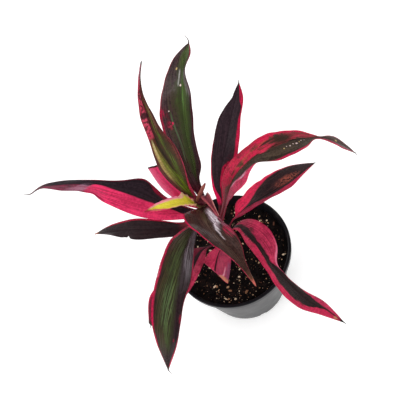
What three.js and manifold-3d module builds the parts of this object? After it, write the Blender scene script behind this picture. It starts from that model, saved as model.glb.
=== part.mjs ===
// Potted red beryl cordyline: a young plant on one cane, in its round black nursery pot.
// Millimetres and degrees, +Z up, the origin at the centre of the pot's flat base.

import * as THREE from 'three';
import { mergeVertices } from 'three/addons/utils/BufferGeometryUtils.js';
import Module from 'manifold-3d';

const wasm = await Module();
wasm.setup();

// Driving dimensions: the pot
const potHeight = 88;
const rimRadius = 55;
const baseRadius = 40;
const lipHeight = 7;
const lipThickness = 3;
const wallThickness = 1.6;
const floorThickness = 3;
const potSides = 60;
const drainCount = 6;
const drainWidth = 8;
const drainHeight = 4;

// Driving dimensions: the soil
const soilTop = 78;
const soilRelief = 1.1;
const grainCount = 46;
const fitGap = 0.3;

// Driving dimensions: the cane
const caneFoot = [0, 2, 44];
const caneTop = [-4, 4, 186];
const caneRadius = 4.6;
const caneTopRadius = 3.8;
const caneSides = 14;
const scarSpacing = 5.5;
const scarRelief = 0.35;

// Driving dimensions: the leaf blades
const bladeThickness = 0.8;
const stalkThickness = 1.7;
const stalkShare = 0.14;
const alongSteps = 24;
const acrossSteps = 6;
const marginDroop = 0.1;
const footOffset = 1.8;

const colours = {
  pot: 0x1d1d20,
  soil: 0x17120f,
  cane: 0x5a2b2a,
  pink: 0xc8264f,
  dark: 0x3a1f28,
  green: 0x3c4420,
  lime: 0xb9b83c,
};

// Each leaf is given at a few places from its foot on the cane to its tip: the midrib's place,
// the half widths left and right of it (seen from the cane), how far the blade is rolled about
// its midrib, and how far both halves are folded up. A slanted end is a leaf that was cut short.
const leaves = [
  {
    name: 'leaf_back_tall',
    colour: colours.green,
    foot: { bearing: 58, height: 180 },
    midrib: [[1, 15, 198], [4, 20, 215], [8, 28, 233], [13, 38, 247],
      [19, 50, 255], [26, 63, 258], [33, 76, 258], [41, 89, 254]],
    left: [2.5, 9, 16, 18, 19, 17, 14, 8, 0.5],
    right: [2, 3, 9, 8, 9, 8, 3, 6, 0.5],
    roll: [0, -10, -20, -20, -20, -20, -20, -15, -10],
    fold: [25, 20, 15, 12, 12, 12, 12, 12, 12],
    wave: [0.8, 2, 0],
  },
  {
    name: 'leaf_back_green',
    colour: colours.green,
    foot: { bearing: 118, height: 183 },
    midrib: [[-9, 10, 206], [-11, 13, 230], [-12, 17, 246], [-12, 24, 259],
      [-10, 34, 269], [-8, 46, 274], [-3, 60, 276], [3, 73, 275]],
    left: [2, 7, 9, 7, 4.5, 5.5, 3, 1, 0.5],
    right: [1.5, 4, 9, 10, 7, 4.5, 2.5, 1, 0.5],
    roll: [0, 0, 0, 10, 20, 40, 50, 50, 50],
    fold: [0, 15, 15, 12, 12, 12, 12, 12, 12],
    wave: [0.6, 2, 90],
  },
  {
    name: 'leaf_back_cut',
    colour: colours.pink,
    foot: { bearing: 141, height: 172 },
    midrib: [[-14, 11, 184], [-18, 16, 195], [-21, 22, 203], [-24, 36, 211]],
    left: [2, 5, 6, 6, 5],
    right: [2, 6, 9, 9, 8],
    roll: [0, 0, 0, 0, 0],
    fold: [25, 20, 15, 10, 10],
    wave: [0.3, 1, 0],
    slant: 0.04,
  },
  {
    name: 'leaf_left_long',
    colour: colours.pink,
    foot: { bearing: 160, height: 160 },
    midrib: [[-19, 10, 170], [-31, 16, 181], [-46, 24, 192], [-63, 38, 200],
      [-80, 54, 201], [-99, 68, 195], [-117, 83, 186], [-133, 93, 172]],
    left: [3, 7.5, 12, 13, 10.5, 6, 4, 1.5, 0.5],
    right: [3, 4, 7, 16, 9, 4.5, 4.5, 1.5, 0.5],
    roll: [0, -10, -20, -20, -20, -20, -20, -10, 0],
    fold: [25, 20, 15, 15, 15, 15, 12, 12, 12],
    wave: [1.4, 3, 0],
  },
  {
    name: 'leaf_left_short',
    colour: colours.dark,
    foot: { bearing: 174, height: 144 },
    midrib: [[-18, 3, 156], [-31, 3, 164], [-45, 6, 171], [-59, 13, 172],
      [-72, 20, 169], [-84, 28, 164], [-95, 37, 156]],
    left: [2.5, 5, 7, 7.5, 8.5, 5.5, 2, 0.5],
    right: [2.5, 2.5, 4.5, 7.5, 9, 8, 5, 0.5],
    roll: [0, 0, -20, -25, -25, -20, -10, 0],
    fold: [25, 20, 15, 12, 12, 12, 12, 12],
    wave: [0.7, 3, 60],
  },
  {
    name: 'leaf_front_left',
    colour: colours.dark,
    foot: { bearing: 232, height: 154 },
    midrib: [[-17, -6, 167], [-27, -20, 178], [-36, -34, 185], [-45, -49, 187],
      [-54, -62, 185], [-63, -74, 179], [-72, -84, 169], [-82, -94, 150]],
    left: [3, 4, 6.5, 10, 11, 8, 7.5, 6.5, 0.5],
    right: [3, 4, 13, 14, 15.5, 16, 14, 8.5, 0.5],
    roll: [0, 0, 0, -5, -10, -10, -10, -10, 0],
    fold: [25, 20, 15, 15, 15, 12, 12, 12, 12],
    wave: [0.8, 3, 120],
  },
  {
    name: 'leaf_under_left',
    colour: colours.pink,
    foot: { bearing: 217, height: 110 },
    midrib: [[-14, -5, 122], [-22, -9, 129], [-31, -18, 134], [-42, -27, 133],
      [-55, -33, 129], [-72, -35, 122], [-89, -40, 109]],
    left: [2.5, 4, 5, 7, 7, 7, 7, 0.5],
    right: [2.5, 3, 6, 12, 15, 16, 14, 3],
    roll: [0, 0, 0, -10, -15, -15, -15, 0],
    fold: [25, 20, 15, 15, 12, 12, 12, 12],
    wave: [0.8, 3, 200],
  },
  {
    name: 'leaf_front_cut',
    colour: colours.pink,
    foot: { bearing: 253, height: 104 },
    midrib: [[-6, -9, 116], [-11, -17, 124], [-17, -28, 128],
      [-24, -41, 129]],
    left: [2.5, 6, 11, 12, 11],
    right: [2.5, 5, 9, 14, 15],
    roll: [0, 0, 0, 0, 0],
    fold: [25, 20, 15, 10, 10],
    wave: [0.3, 1, 0],
    slant: 0.17,
  },
  {
    name: 'leaf_front_glossy',
    colour: colours.dark,
    foot: { bearing: 278, height: 180 },
    midrib: [[-5, -10, 193], [-5, -22, 201], [-4, -35, 208], [-2, -48, 214],
      [1, -61, 217], [3, -74, 217], [4, -89, 213]],
    left: [3, 5, 7, 8.5, 10, 7.5, 2.5, 0.5],
    right: [3, 15, 16, 12, 9, 6, 3, 0.5],
    roll: [0, -10, -10, -10, -10, -10, 0, 0],
    fold: [25, 15, 12, 12, 12, 12, 12, 12],
    wave: [0.5, 2, 0],
  },
  {
    name: 'leaf_young_lime',
    colour: colours.lime,
    foot: { bearing: 186, height: 184 },
    midrib: [[-13.5, -0.5, 197], [-21, -4, 210], [-31, -7, 220],
      [-42, -8, 226]],
    left: [2, 3.5, 4, 3.5, 0.5],
    right: [1, 6, 6.5, 4.5, 0.5],
    roll: [0, 0, 0, 0, 0],
    fold: [25, 20, 15, 12, 12],
    wave: [0.3, 2, 0],
  },
  {
    name: 'leaf_young_rolled',
    colour: colours.dark,
    foot: { bearing: 351, height: 178 },
    midrib: [[1.8, 4.2, 185.5], [0.8, 0.8, 190.5], [2, -7, 191.5],
      [3.2, -19, 189]],
    left: [1.5, 3, 3, 2, 0.5],
    right: [1.5, 1.2, 2.8, 2, 0.5],
    roll: [0, 0, 0, 0, 0],
    fold: [25, 35, 35, 30, 20],
    wave: [0.2, 1, 0],
  },
  {
    name: 'leaf_right_dark',
    colour: colours.dark,
    foot: { bearing: 50, height: 131 },
    midrib: [[10, 12.5, 146], [15.5, 23, 160], [26, 33, 174], [37, 43, 184],
      [48, 57, 189], [59, 71, 191], [68, 84, 191]],
    left: [2, 3, 6, 10, 11, 10, 4, 0.5],
    right: [2, 2.5, 8, 12.5, 11, 8.5, 7, 0.5],
    roll: [0, 0, 0, 0, 0, 0, 0, 0],
    fold: [25, 20, 15, 12, 12, 12, 12, 12],
    wave: [0.7, 3, 30],
  },
  {
    name: 'leaf_right_long',
    colour: colours.pink,
    foot: { bearing: 352, height: 139 },
    midrib: [[13, 7, 154], [22, 10, 171], [33, 13, 182], [48, 14, 190],
      [66, 12, 194], [84, 12, 188], [102, 13, 174], [117, 11, 157],
      [130, 5, 138]],
    left: [2.5, 4, 9.5, 12, 10.5, 12.5, 9, 1.5, 6, 0.5],
    right: [2.5, 3, 10, 14, 7, 14.5, 12, 1.5, 9, 0.5],
    roll: [0, 0, 0, 0, 0, 0, 0, 0, 0, 0],
    fold: [25, 20, 20, 15, 12, 12, 12, 25, 15, 12],
    wave: [1.0, 4, 0],
  },
  {
    name: 'leaf_right_small',
    colour: colours.pink,
    foot: { bearing: 354, height: 118 },
    midrib: [[12, 5, 126], [22, 4, 136], [35, 2, 144], [49, 1, 148],
      [64, 3, 147], [80, 8, 142], [97, 16, 133]],
    left: [2, 1.5, 6, 15.5, 17, 17, 12.5, 0.5],
    right: [2, 2, 4, 5, 6, 7, 3, 0.5],
    roll: [0, 0, -10, -15, -15, -15, -10, 0],
    fold: [20, 20, 15, 12, 12, 12, 12, 12],
    wave: [0.6, 2, 180],
  },
  {
    name: 'leaf_right_low',
    colour: colours.pink,
    foot: { bearing: 314, height: 108 },
    midrib: [[10, -2, 126], [17, -10, 134], [21, -24, 139], [23, -40, 142],
      [24, -55, 141], [28, -69, 136], [34, -83, 127], [43, -95, 115], [55, -108, 99]],
    left: [2, 2.5, 10, 14.5, 12.5, 4.5, 3.5, 5.5, 6.5, 0.5],
    right: [2, 2, 4.5, 8, 8.5, 9.5, 13, 11, 5, 0.5],
    roll: [0, 0, 0, -10, -20, -30, -30, -20, -10, 0],
    fold: [20, 20, 15, 12, 12, 12, 12, 12, 12, 12],
    wave: [0.8, 3, 0],
  },
];

// The rolled spear of the next leaf stands in the heart of the crown.
const spear = { from: [-4.8, 4, 186.9], to: [4.8, 2.2, 206.5], radius: 1.2 };
const spearSides = 10;

// Random numbers between 0 and 1, always the same row for the same seed.
function seededRandom(seed) {
  let state = seed;
  return () => {
    state = (state * 16807) % 2147483647;
    return state / 2147483647;
  };
}

function radians(degrees) {
  return THREE.MathUtils.degToRad(degrees);
}

// A value on the smooth curve through evenly spaced stations, at a share of its length.
function along(stations, share) {
  const last = stations.length - 1;
  const place = THREE.MathUtils.clamp(share, 0, 1) * last;
  const i = Math.min(Math.floor(place), last - 1);
  const t = place - i;
  const at = (k) => stations[THREE.MathUtils.clamp(k, 0, last)];
  const slopeHere = (at(i + 1) - at(i - 1)) / 2;
  const slopeNext = (at(i + 2) - at(i)) / 2;
  const rise = at(i + 1) - at(i);
  return at(i) + t * slopeHere
    + t * t * (3 * rise - 2 * slopeHere - slopeNext)
    + t * t * t * (slopeHere + slopeNext - 2 * rise);
}

// The foot of a leaf, just off the cane's skin.
function footPlace({ bearing, height }) {
  const [x, y] = caneAxis(height);
  const reach = caneRadiusAt(height) + footOffset;
  return [x + reach * Math.cos(radians(bearing)), y + reach * Math.sin(radians(bearing)), height];
}

function midribPoint(leaf, share) {
  const places = [footPlace(leaf.foot), ...leaf.midrib];
  return new THREE.Vector3(...[0, 1, 2].map((k) => along(places.map((place) => place[k]), share)));
}

// The leaf's own axes at a share of its length: forward, to its left, and out of its face.
function leafAxes(leaf, share) {
  const step = 0.01;
  const ahead = midribPoint(leaf, Math.min(share + step, 1));
  const behind = midribPoint(leaf, Math.max(share - step, 0));
  const forward = ahead.sub(behind).normalize();
  const foot = footPlace(leaf.foot);
  const tip = leaf.midrib[leaf.midrib.length - 1];
  const left = new THREE.Vector3(foot[1] - tip[1], tip[0] - foot[0], 0);
  left.addScaledVector(forward, -left.dot(forward)).normalize();
  left.applyAxisAngle(forward, radians(along(leaf.roll, share)));
  return { forward, left, up: new THREE.Vector3().crossVectors(forward, left) };
}

// A point of the blade: across runs from -1 at the right margin to 1 at the left one, and
// layer is 1 on the upper face and -1 on the lower one.
function bladePoint(leaf, share, across, layer) {
  const slant = leaf.slant ?? 0;
  const shareHere = share * (1 - Math.abs(slant) + slant * across);
  const { left, up } = leafAxes(leaf, shareHere);
  const half = along(across > 0 ? leaf.left : leaf.right, shareHere);
  const fold = radians(along(leaf.fold, shareHere));
  const [height, count, phase] = leaf.wave;
  const spread = Math.abs(across);
  const swell = Math.sin(Math.PI * Math.min(1, shareHere));
  const ripple = Math.sin(radians(360 * count * shareHere + phase + 130 * Math.sign(across)));
  const thickness = THREE.MathUtils.lerp(
    stalkThickness, bladeThickness, THREE.MathUtils.smoothstep(shareHere, 0, stalkShare));
  const lift = half * spread * Math.sin(fold)
    - marginDroop * half * spread * spread
    + height * swell * spread * spread * ripple;
  return midribPoint(leaf, shareHere)
    .addScaledVector(left, half * across * Math.cos(fold))
    .addScaledVector(up, lift + layer * thickness / 2);
}

// The closed blade: two faces split into triangles alike, joined all round by a narrow edge.
function bladeGeometry(leaf) {
  const row = acrossSteps + 1;
  const layerSize = (alongSteps + 1) * row;
  const positions = [];
  for (const layer of [1, -1]) {
    for (let i = 0; i <= alongSteps; i += 1) {
      for (let j = 0; j <= acrossSteps; j += 1) {
        const across = 1 - (2 * j) / acrossSteps;
        positions.push(...bladePoint(leaf, i / alongSteps, across, layer).toArray());
      }
    }
  }
  const faces = [];
  const quad = (a, b, c, d) => faces.push(a, b, c, a, c, d);
  for (let i = 0; i < alongSteps; i += 1) {
    for (let j = 0; j < acrossSteps; j += 1) {
      const a = i * row + j;
      const [b, c, d] = [a + 1, a + row + 1, a + row];
      quad(a, b, c, d);
      faces.push(a + layerSize, c + layerSize, b + layerSize);
      faces.push(a + layerSize, d + layerSize, c + layerSize);
    }
    const leftEdge = i * row;
    const rightEdge = leftEdge + acrossSteps;
    quad(leftEdge, leftEdge + row, leftEdge + row + layerSize, leftEdge + layerSize);
    quad(rightEdge, rightEdge + layerSize, rightEdge + row + layerSize, rightEdge + row);
  }
  const tipRow = alongSteps * row;
  for (let j = 0; j < acrossSteps; j += 1) {
    quad(j, j + layerSize, j + 1 + layerSize, j + 1);
    quad(tipRow + j, tipRow + j + 1, tipRow + j + 1 + layerSize, tipRow + j + layerSize);
  }
  const geometry = new THREE.BufferGeometry();
  geometry.setAttribute('position', new THREE.Float32BufferAttribute(positions, 3));
  geometry.setIndex(faces);
  return geometry;
}

// The cane's axis leans a little, above the soil only.
function caneAxis(height) {
  const share = THREE.MathUtils.clamp((height - soilTop) / (caneTop[2] - soilTop), 0, 1);
  return [
    THREE.MathUtils.lerp(caneFoot[0], caneTop[0], share),
    THREE.MathUtils.lerp(caneFoot[1], caneTop[1], share),
  ];
}

// The cane gets slimmer upwards, and has a ring at each leaf scar above the soil.
function caneRadiusAt(height) {
  const share = (height - caneFoot[2]) / (caneTop[2] - caneFoot[2]);
  const ring = Math.abs(Math.sin(Math.PI * height / scarSpacing));
  const scar = height > soilTop ? scarRelief * ring : 0;
  return THREE.MathUtils.lerp(caneRadius, caneTopRadius, share) - scar;
}

function caneGeometry() {
  const steps = 40;
  const profile = [new THREE.Vector2(0, caneFoot[2])];
  for (let i = 0; i <= steps; i += 1) {
    const height = THREE.MathUtils.lerp(caneFoot[2], caneTop[2], i / steps);
    profile.push(new THREE.Vector2(caneRadiusAt(height), height));
  }
  profile.push(new THREE.Vector2(0, caneTop[2]));
  const geometry = latheUp(profile, caneSides);
  bend(geometry, (point) => {
    const [x, y] = caneAxis(point.z);
    point.x += x;
    point.y += y;
  });
  return geometry;
}

// A turned body whose axis is +Z: the profile gives radius and height.
function latheUp(profile, sides) {
  const geometry = new THREE.LatheGeometry(profile, sides);
  geometry.rotateX(Math.PI / 2);
  return welded(geometry);
}

// The same body with one vertex at each corner, shared by all its faces there.
function welded(geometry) {
  geometry.deleteAttribute('normal');
  geometry.deleteAttribute('uv');
  return mergeVertices(geometry, 1e-4);
}

// Moves every corner of a body.
function bend(geometry, move) {
  const position = geometry.attributes.position;
  const point = new THREE.Vector3();
  for (let i = 0; i < position.count; i += 1) {
    point.fromBufferAttribute(position, i);
    move(point);
    position.setXYZ(i, point.x, point.y, point.z);
  }
}

function toSolid(geometry) {
  return new wasm.Manifold(new wasm.Mesh({
    numProp: 3,
    vertProperties: new Float32Array(geometry.attributes.position.array),
    triVerts: new Uint32Array(geometry.index.array),
  }));
}

function fromSolid(solid) {
  const mesh = solid.getMesh();
  const geometry = new THREE.BufferGeometry();
  geometry.setAttribute('position', new THREE.BufferAttribute(mesh.vertProperties, 3));
  geometry.setIndex(new THREE.BufferAttribute(mesh.triVerts, 1));
  return geometry;
}

// The pot's outer and inner radius at a height, on its tapered wall.
function wallRadius(height) {
  return THREE.MathUtils.lerp(baseRadius, rimRadius - 1.2, height / potHeight);
}

function potGeometry() {
  const lipFoot = potHeight - lipHeight;
  const edge = 0.8;
  const rimInner = rimRadius - lipThickness;
  const profile = [
    [0, 0],
    [baseRadius - edge, 0],
    [wallRadius(edge), edge],
    [wallRadius(lipFoot), lipFoot],
    [rimRadius - 0.3, lipFoot + 0.5],
    [rimRadius, potHeight - edge],
    [rimRadius - edge, potHeight],
    [rimInner + edge, potHeight],
    [rimInner, potHeight - edge],
    [wallRadius(lipFoot) - wallThickness, lipFoot],
    [wallRadius(floorThickness) - wallThickness, floorThickness],
    [0, floorThickness],
  ].map(([r, z]) => new THREE.Vector2(r, z));
  let pot = toSolid(latheUp(profile, potSides));
  for (let i = 0; i < drainCount; i += 1) {
    pot = pot.subtract(toSolid(drainCutter((i + 0.5) * 2 * Math.PI / drainCount)));
  }
  return fromSolid(pot);
}

// A drain slot is open through the floor and the foot of the wall.
function drainCutter(angle) {
  const depth = 12;
  const cutter = new THREE.BoxGeometry(depth, drainWidth, 2 * drainHeight);
  cutter.rotateZ(angle);
  cutter.translate(baseRadius * Math.cos(angle), baseRadius * Math.sin(angle), 0);
  return welded(cutter);
}

function soilRadius(height) {
  const lipFoot = potHeight - lipHeight;
  return wallRadius(Math.min(height, lipFoot)) - wallThickness - fitGap;
}

// The ground height: flat enough to carry the grains, with a gentle uneven roll.
function groundHeight(x, y) {
  const roll = Math.sin(x * 0.21 + 1.3) * Math.cos(y * 0.17) + 0.6 * Math.sin(x * 0.37 - y * 0.31);
  return soilTop + soilRelief * roll / 1.6;
}

function soilGeometry() {
  const rings = 7;
  const foot = floorThickness + fitGap;
  const profile = [new THREE.Vector2(0, foot), new THREE.Vector2(soilRadius(foot), foot)];
  for (let i = rings; i >= 0; i -= 1) {
    profile.push(new THREE.Vector2(soilRadius(soilTop) * i / rings, soilTop));
  }
  const ground = latheUp(profile, potSides);
  bend(ground, (point) => {
    if (point.z > soilTop - 1) {
      point.z = groundHeight(point.x, point.y);
    }
  });
  let soil = toSolid(ground);
  for (const grain of grainGeometries()) {
    soil = soil.add(toSolid(grain));
  }
  const hole = new THREE.CylinderGeometry(
    caneRadius + fitGap, caneRadius + fitGap, potHeight, caneSides * 2);
  hole.rotateX(Math.PI / 2);
  hole.translate(caneFoot[0], caneFoot[1], caneFoot[2] - fitGap + potHeight / 2);
  return fromSolid(soil.subtract(toSolid(welded(hole))));
}

// Coarse grains of perlite and bark stand a little out of the soil.
function grainGeometries() {
  const random = seededRandom(41);
  const keepOut = caneRadius + 7;
  const reach = soilRadius(soilTop) - 5;
  const grains = [];
  while (grains.length < grainCount) {
    const angle = 2 * Math.PI * random();
    const radius = keepOut + (reach - keepOut) * Math.sqrt(random());
    const size = 1.2 + 1.4 * random();
    const x = radius * Math.cos(angle);
    const y = radius * Math.sin(angle);
    const grain = new THREE.IcosahedronGeometry(size, 0);
    grain.scale(1 + 0.5 * random(), 1, 0.8);
    grain.rotateZ(Math.PI * random());
    grain.translate(x, y, groundHeight(x, y) + 0.15 * size);
    grains.push(welded(grain));
  }
  return grains;
}

// The spear is a slim cone, round at both ends.
function spearGeometry() {
  const from = new THREE.Vector3(...spear.from);
  const to = new THREE.Vector3(...spear.to);
  const length = from.distanceTo(to);
  const profile = [
    [0, 0],
    [0.55, 0],
    [0.95, 0.12],
    [1, 0.35],
    [0.8, 0.65],
    [0.45, 0.9],
    [0.12, 1],
    [0, 1],
  ].map(([r, share]) => new THREE.Vector2(r * spear.radius, share * length));
  const geometry = latheUp(profile, spearSides);
  const turn = new THREE.Quaternion().setFromUnitVectors(
    new THREE.Vector3(0, 0, 1), to.clone().sub(from).normalize());
  geometry.applyQuaternion(turn);
  geometry.translate(from.x, from.y, from.z);
  return geometry;
}

function addPiece(group, name, geometry, color, roughness) {
  const material = new THREE.MeshStandardMaterial({ color, roughness, metalness: 0 });
  const mesh = new THREE.Mesh(geometry, material);
  mesh.name = name;
  group.add(mesh);
}

const plant = new THREE.Group();
addPiece(plant, 'pot', potGeometry(), colours.pot, 0.5);
addPiece(plant, 'soil', soilGeometry(), colours.soil, 0.95);
addPiece(plant, 'cane', caneGeometry(), colours.cane, 0.7);
addPiece(plant, 'leaf_spear', spearGeometry(), colours.dark, 0.5);
for (const leaf of leaves) {
  addPiece(plant, leaf.name, bladeGeometry(leaf), leaf.colour, 0.4);
}

export default plant;
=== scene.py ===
"""Looks of the potted red beryl cordyline: its leaves, cane, soil and pot, dressed and lit.

Tables are in millimetres and degrees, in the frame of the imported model: the origin at the centre
of the pot's base, +Z up, and the photograph's camera on the -Y side. Meshes are in metres.
"""

import logging
import math
import random
from collections.abc import Callable
from dataclasses import dataclass
from enum import Enum

import bmesh
import bpy
from mathutils import Matrix, Vector, noise


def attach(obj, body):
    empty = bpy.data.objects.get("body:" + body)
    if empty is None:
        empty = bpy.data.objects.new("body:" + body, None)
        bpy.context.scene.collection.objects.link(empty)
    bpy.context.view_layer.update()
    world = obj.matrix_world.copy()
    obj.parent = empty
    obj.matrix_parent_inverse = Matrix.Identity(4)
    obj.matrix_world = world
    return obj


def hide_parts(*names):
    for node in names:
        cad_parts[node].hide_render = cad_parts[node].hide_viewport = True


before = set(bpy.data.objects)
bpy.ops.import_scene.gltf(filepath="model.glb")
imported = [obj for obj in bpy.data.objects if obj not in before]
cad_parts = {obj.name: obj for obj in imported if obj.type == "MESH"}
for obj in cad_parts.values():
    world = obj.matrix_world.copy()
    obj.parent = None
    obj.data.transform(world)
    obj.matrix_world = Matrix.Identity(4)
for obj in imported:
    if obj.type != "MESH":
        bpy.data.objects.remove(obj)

LOG = logging.getLogger("cordyline")
MM = 0.001
BODY = "root"
BLADE_MAP = "blade"
THICKNESS_GROUP = "thickness"
SHADE_LAYER = "shade"
WELD = 0.001

Colour = tuple[float, float, float]
Place = tuple[float, float, float]
Pair = tuple[float, float]
Points = tuple[Pair, ...]
Line = float | Pair | Points
Bent = tuple[Vector, Pair, float]
Shape = Callable[[float, float], Bent]
Socket = bpy.types.NodeSocket
Material = bpy.types.Material
Piece = bpy.types.Object
Pieces = list[Piece]


def tint(red: float, green: float, blue: float) -> Colour:
    """Gives the linear colour of a screen colour, by the sRGB rule.

    Args:
        red, green, blue: screen values from 0 to 255.

    Returns:
        The colour as Blender's sockets take it.
    """
    toe, slope, offset, power = 0.04045, 12.92, 0.055, 2.4
    return tuple(
        v / slope if v <= toe else ((v + offset) / (1 + offset)) ** power
        for v in (red / 255, green / 255, blue / 255)
    )


def along(stations: tuple[float, ...] | list[float], share: float) -> float:
    """Reads the smooth curve through evenly spaced stations.

    Args:
        stations: the values that the curve passes through.
        share: the place on the curve, from 0 to 1.

    Returns:
        The value at that place.
    """
    last = len(stations) - 1
    place = min(max(share, 0.0), 1.0) * last
    i = min(int(place), last - 1)
    t = place - i
    before, here, after, beyond = (stations[min(max(i + k, 0), last)] for k in (-1, 0, 1, 2))
    slope_here = (after - before) / 2
    slope_next = (beyond - here) / 2
    rise = after - here
    return (
        here
        + t * slope_here
        + t * t * (3 * rise - 2 * slope_here - slope_next)
        + t * t * t * (slope_here + slope_next - 2 * rise)
    )


def ease(value: float, low: float, high: float) -> float:
    """Goes smoothly from 0 at low to 1 at high."""
    t = min(max((value - low) / (high - low), 0.0), 1.0)
    return t * t * (3 - 2 * t)


def blend(low: float, high: float, share: float) -> float:
    """Goes evenly from low to high."""
    return low + (high - low) * share


def swing(turns: float, degrees: float) -> float:
    """Gives the sine of some turns and an angle."""
    return math.sin(math.radians(360 * turns + degrees))


def outward(bearing: float) -> Vector:
    """Gives the level direction at a bearing, in degrees from +X towards +Y."""
    return Vector((math.cos(math.radians(bearing)), math.sin(math.radians(bearing)), 0.0))


def points_of(line: Line) -> Points:
    """Gives a line's points, also where it is given in short.

    Args:
        line: its place across where it is level, the places of its foot and its tip where it is
            straight, and otherwise its points.

    Returns:
        Its points, as share along the blade and place across it from -1 to 1.
    """
    if isinstance(line, (int, float)):
        line = (line, line)
    if isinstance(line[0], tuple):
        return line
    return ((0.0, line[0]), (1.0, line[1]))


class Board:
    """The node tree of one material, with short ways to add and join its nodes."""

    MIX_INPUTS = (0, 6, 7)
    MIX_OUTPUT = 2

    def __init__(self, name: str) -> None:
        """Starts a material that holds only its shader.

        Args:
            name: the material's name.
        """
        self.material = bpy.data.materials.new(name)
        self.material.use_nodes = True
        self.nodes = self.material.node_tree.nodes
        self.links = self.material.node_tree.links
        self.shader = self.nodes["Principled BSDF"]

    def fill(self, socket: Socket, value: Socket | Colour | float) -> None:
        """Fills a socket.

        Args:
            socket: the socket to fill.
            value: another node's output to join to it, or a plain value to set on it.
        """
        if isinstance(value, Socket):
            self.links.new(value, socket)
        elif socket.type == "RGBA":
            socket.default_value = (*value, 1.0)
        else:
            socket.default_value = value

    def set(self, **values: Socket | Colour | float) -> None:
        """Fills the shader's sockets, named with _ for each space."""
        for name, value in values.items():
            self.fill(self.shader.inputs[name.replace("_", " ")], value)

    def math(self, operation: str, *terms: Socket | float) -> Socket:
        """Adds one sum, product or other operation.

        Args:
            operation: its name in Blender.
            terms: what it works on.

        Returns:
            Its result.
        """
        node = self.nodes.new("ShaderNodeMath")
        node.operation = operation
        for socket, term in zip(node.inputs, terms):
            self.fill(socket, term)
        return node.outputs[0]

    def times(self, first: Socket | float, second: Socket | float) -> Socket:
        """Multiplies two values."""
        return self.math("MULTIPLY", first, second)

    def minus(self, first: Socket | float, second: Socket | float) -> Socket:
        """Takes the second value from the first."""
        return self.math("SUBTRACT", first, second)

    def sum(self, *parts: tuple[Socket, float]) -> Socket:
        """Adds up several values.

        Args:
            parts: each value with its weight.

        Returns:
            Their weighted sum.
        """
        total: Socket | float = 0.0
        for value, weight in parts:
            total = self.math("MULTIPLY_ADD", value, weight, total)
        return total

    def about(self, cloud: Socket, middle: float, spread: float) -> Socket:
        """Lets a value waver about its middle as a noise does."""
        return self.math("MULTIPLY_ADD", cloud, spread, middle - spread / 2)

    def mix(self, share: Socket | float, low: Socket | Colour, high: Socket | Colour) -> Socket:
        """Mixes two colours.

        Args:
            share: how much of the second one shows.
            low: the colour where share is 0.
            high: the colour where share is 1.

        Returns:
            The mixed colour.
        """
        node = self.nodes.new("ShaderNodeMix")
        node.data_type = "RGBA"
        for place, value in zip(self.MIX_INPUTS, (share, low, high)):
            self.fill(node.inputs[place], value)
        return node.outputs[self.MIX_OUTPUT]

    def step(self, value: Socket, low: float, high: float, top: float = 1.0) -> Socket:
        """Adds a smooth step.

        Args:
            value: what is measured.
            low: where the result is 0.
            high: where the result is top.
            top: the highest result.

        Returns:
            The result.
        """
        node = self.nodes.new("ShaderNodeMapRange")
        node.interpolation_type = "SMOOTHSTEP"
        for socket, term in zip(node.inputs, (value, low, high, 0.0, top)):
            self.fill(socket, term)
        return node.outputs[0]

    def vector(self, x: Socket | float, y: Socket | float, z: Socket | float) -> Socket:
        """Joins three values.

        Args:
            x, y, z: the three values.

        Returns:
            The vector.
        """
        node = self.nodes.new("ShaderNodeCombineXYZ")
        for socket, value in zip(node.inputs, (x, y, z)):
            self.fill(socket, value)
        return node.outputs[0]

    def noise(self, place: Socket, scale: float, detail: float = 2.0, rough: float = 0.5) -> Socket:
        """Adds cloudy noise.

        Args:
            place: where it is read.
            scale: how many clouds there are in one unit of place.
            detail: how many finer layers it has.
            rough: how strong the finer layers are.

        Returns:
            The noise, from 0 to 1.
        """
        node = self.nodes.new("ShaderNodeTexNoise")
        settings = {"Vector": place, "Scale": scale, "Detail": detail, "Roughness": rough}
        for name, value in settings.items():
            self.fill(node.inputs[name], value)
        return node.outputs["Fac"]

    def line(self, share: Socket, line: Line) -> Socket:
        """Reads a smooth line that runs along a blade.

        Args:
            share: the place along the blade.
            line: the line, in full or in short.

        Returns:
            The line's place across the blade, from -1 to 1.
        """
        points = points_of(line)
        node = self.nodes.new("ShaderNodeFloatCurve")
        curve = node.mapping.curves[0]
        while len(curve.points) < len(points):
            curve.points.new(0.5, 0.5)
        for knot, (where, across) in zip(curve.points, points):
            knot.location = (where, (across + 1) / 2)
            knot.handle_type = "AUTO_CLAMPED"
        node.mapping.update()
        self.fill(node.inputs["Value"], share)
        return self.math("MULTIPLY_ADD", node.outputs[0], 2.0, -1.0)

    def bump(self, height: Socket, strength: float, depth: float) -> None:
        """Raises the look of the surface.

        Args:
            height: the height, from 0 to 1.
            strength: how much of it shows.
            depth: the depth of the relief, in millimetres.
        """
        node = self.nodes.new("ShaderNodeBump")
        self.fill(node.inputs["Height"], height)
        node.inputs["Strength"].default_value = strength
        node.inputs["Distance"].default_value = depth * MM
        self.links.new(node.outputs[0], self.shader.inputs["Normal"])

    def object_place(self) -> Socket:
        """Gives the surface's own place, in metres."""
        return self.nodes.new("ShaderNodeTexCoord").outputs["Object"]

    def split(self, vector: Socket) -> tuple[Socket, Socket, Socket]:
        """Takes a vector apart.

        Args:
            vector: the vector.

        Returns:
            Its x, y and z.
        """
        node = self.nodes.new("ShaderNodeSeparateXYZ")
        self.fill(node.inputs[0], vector)
        return tuple(node.outputs)

    def mapped(self, map_name: str) -> tuple[Socket, Socket]:
        """Reads a piece's own flat map.

        Args:
            map_name: the map's name.

        Returns:
            The place along it and the place across it.
        """
        node = self.nodes.new("ShaderNodeUVMap")
        node.uv_map = map_name
        along_it, across_it, _ = self.split(node.outputs[0])
        return along_it, across_it


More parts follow.
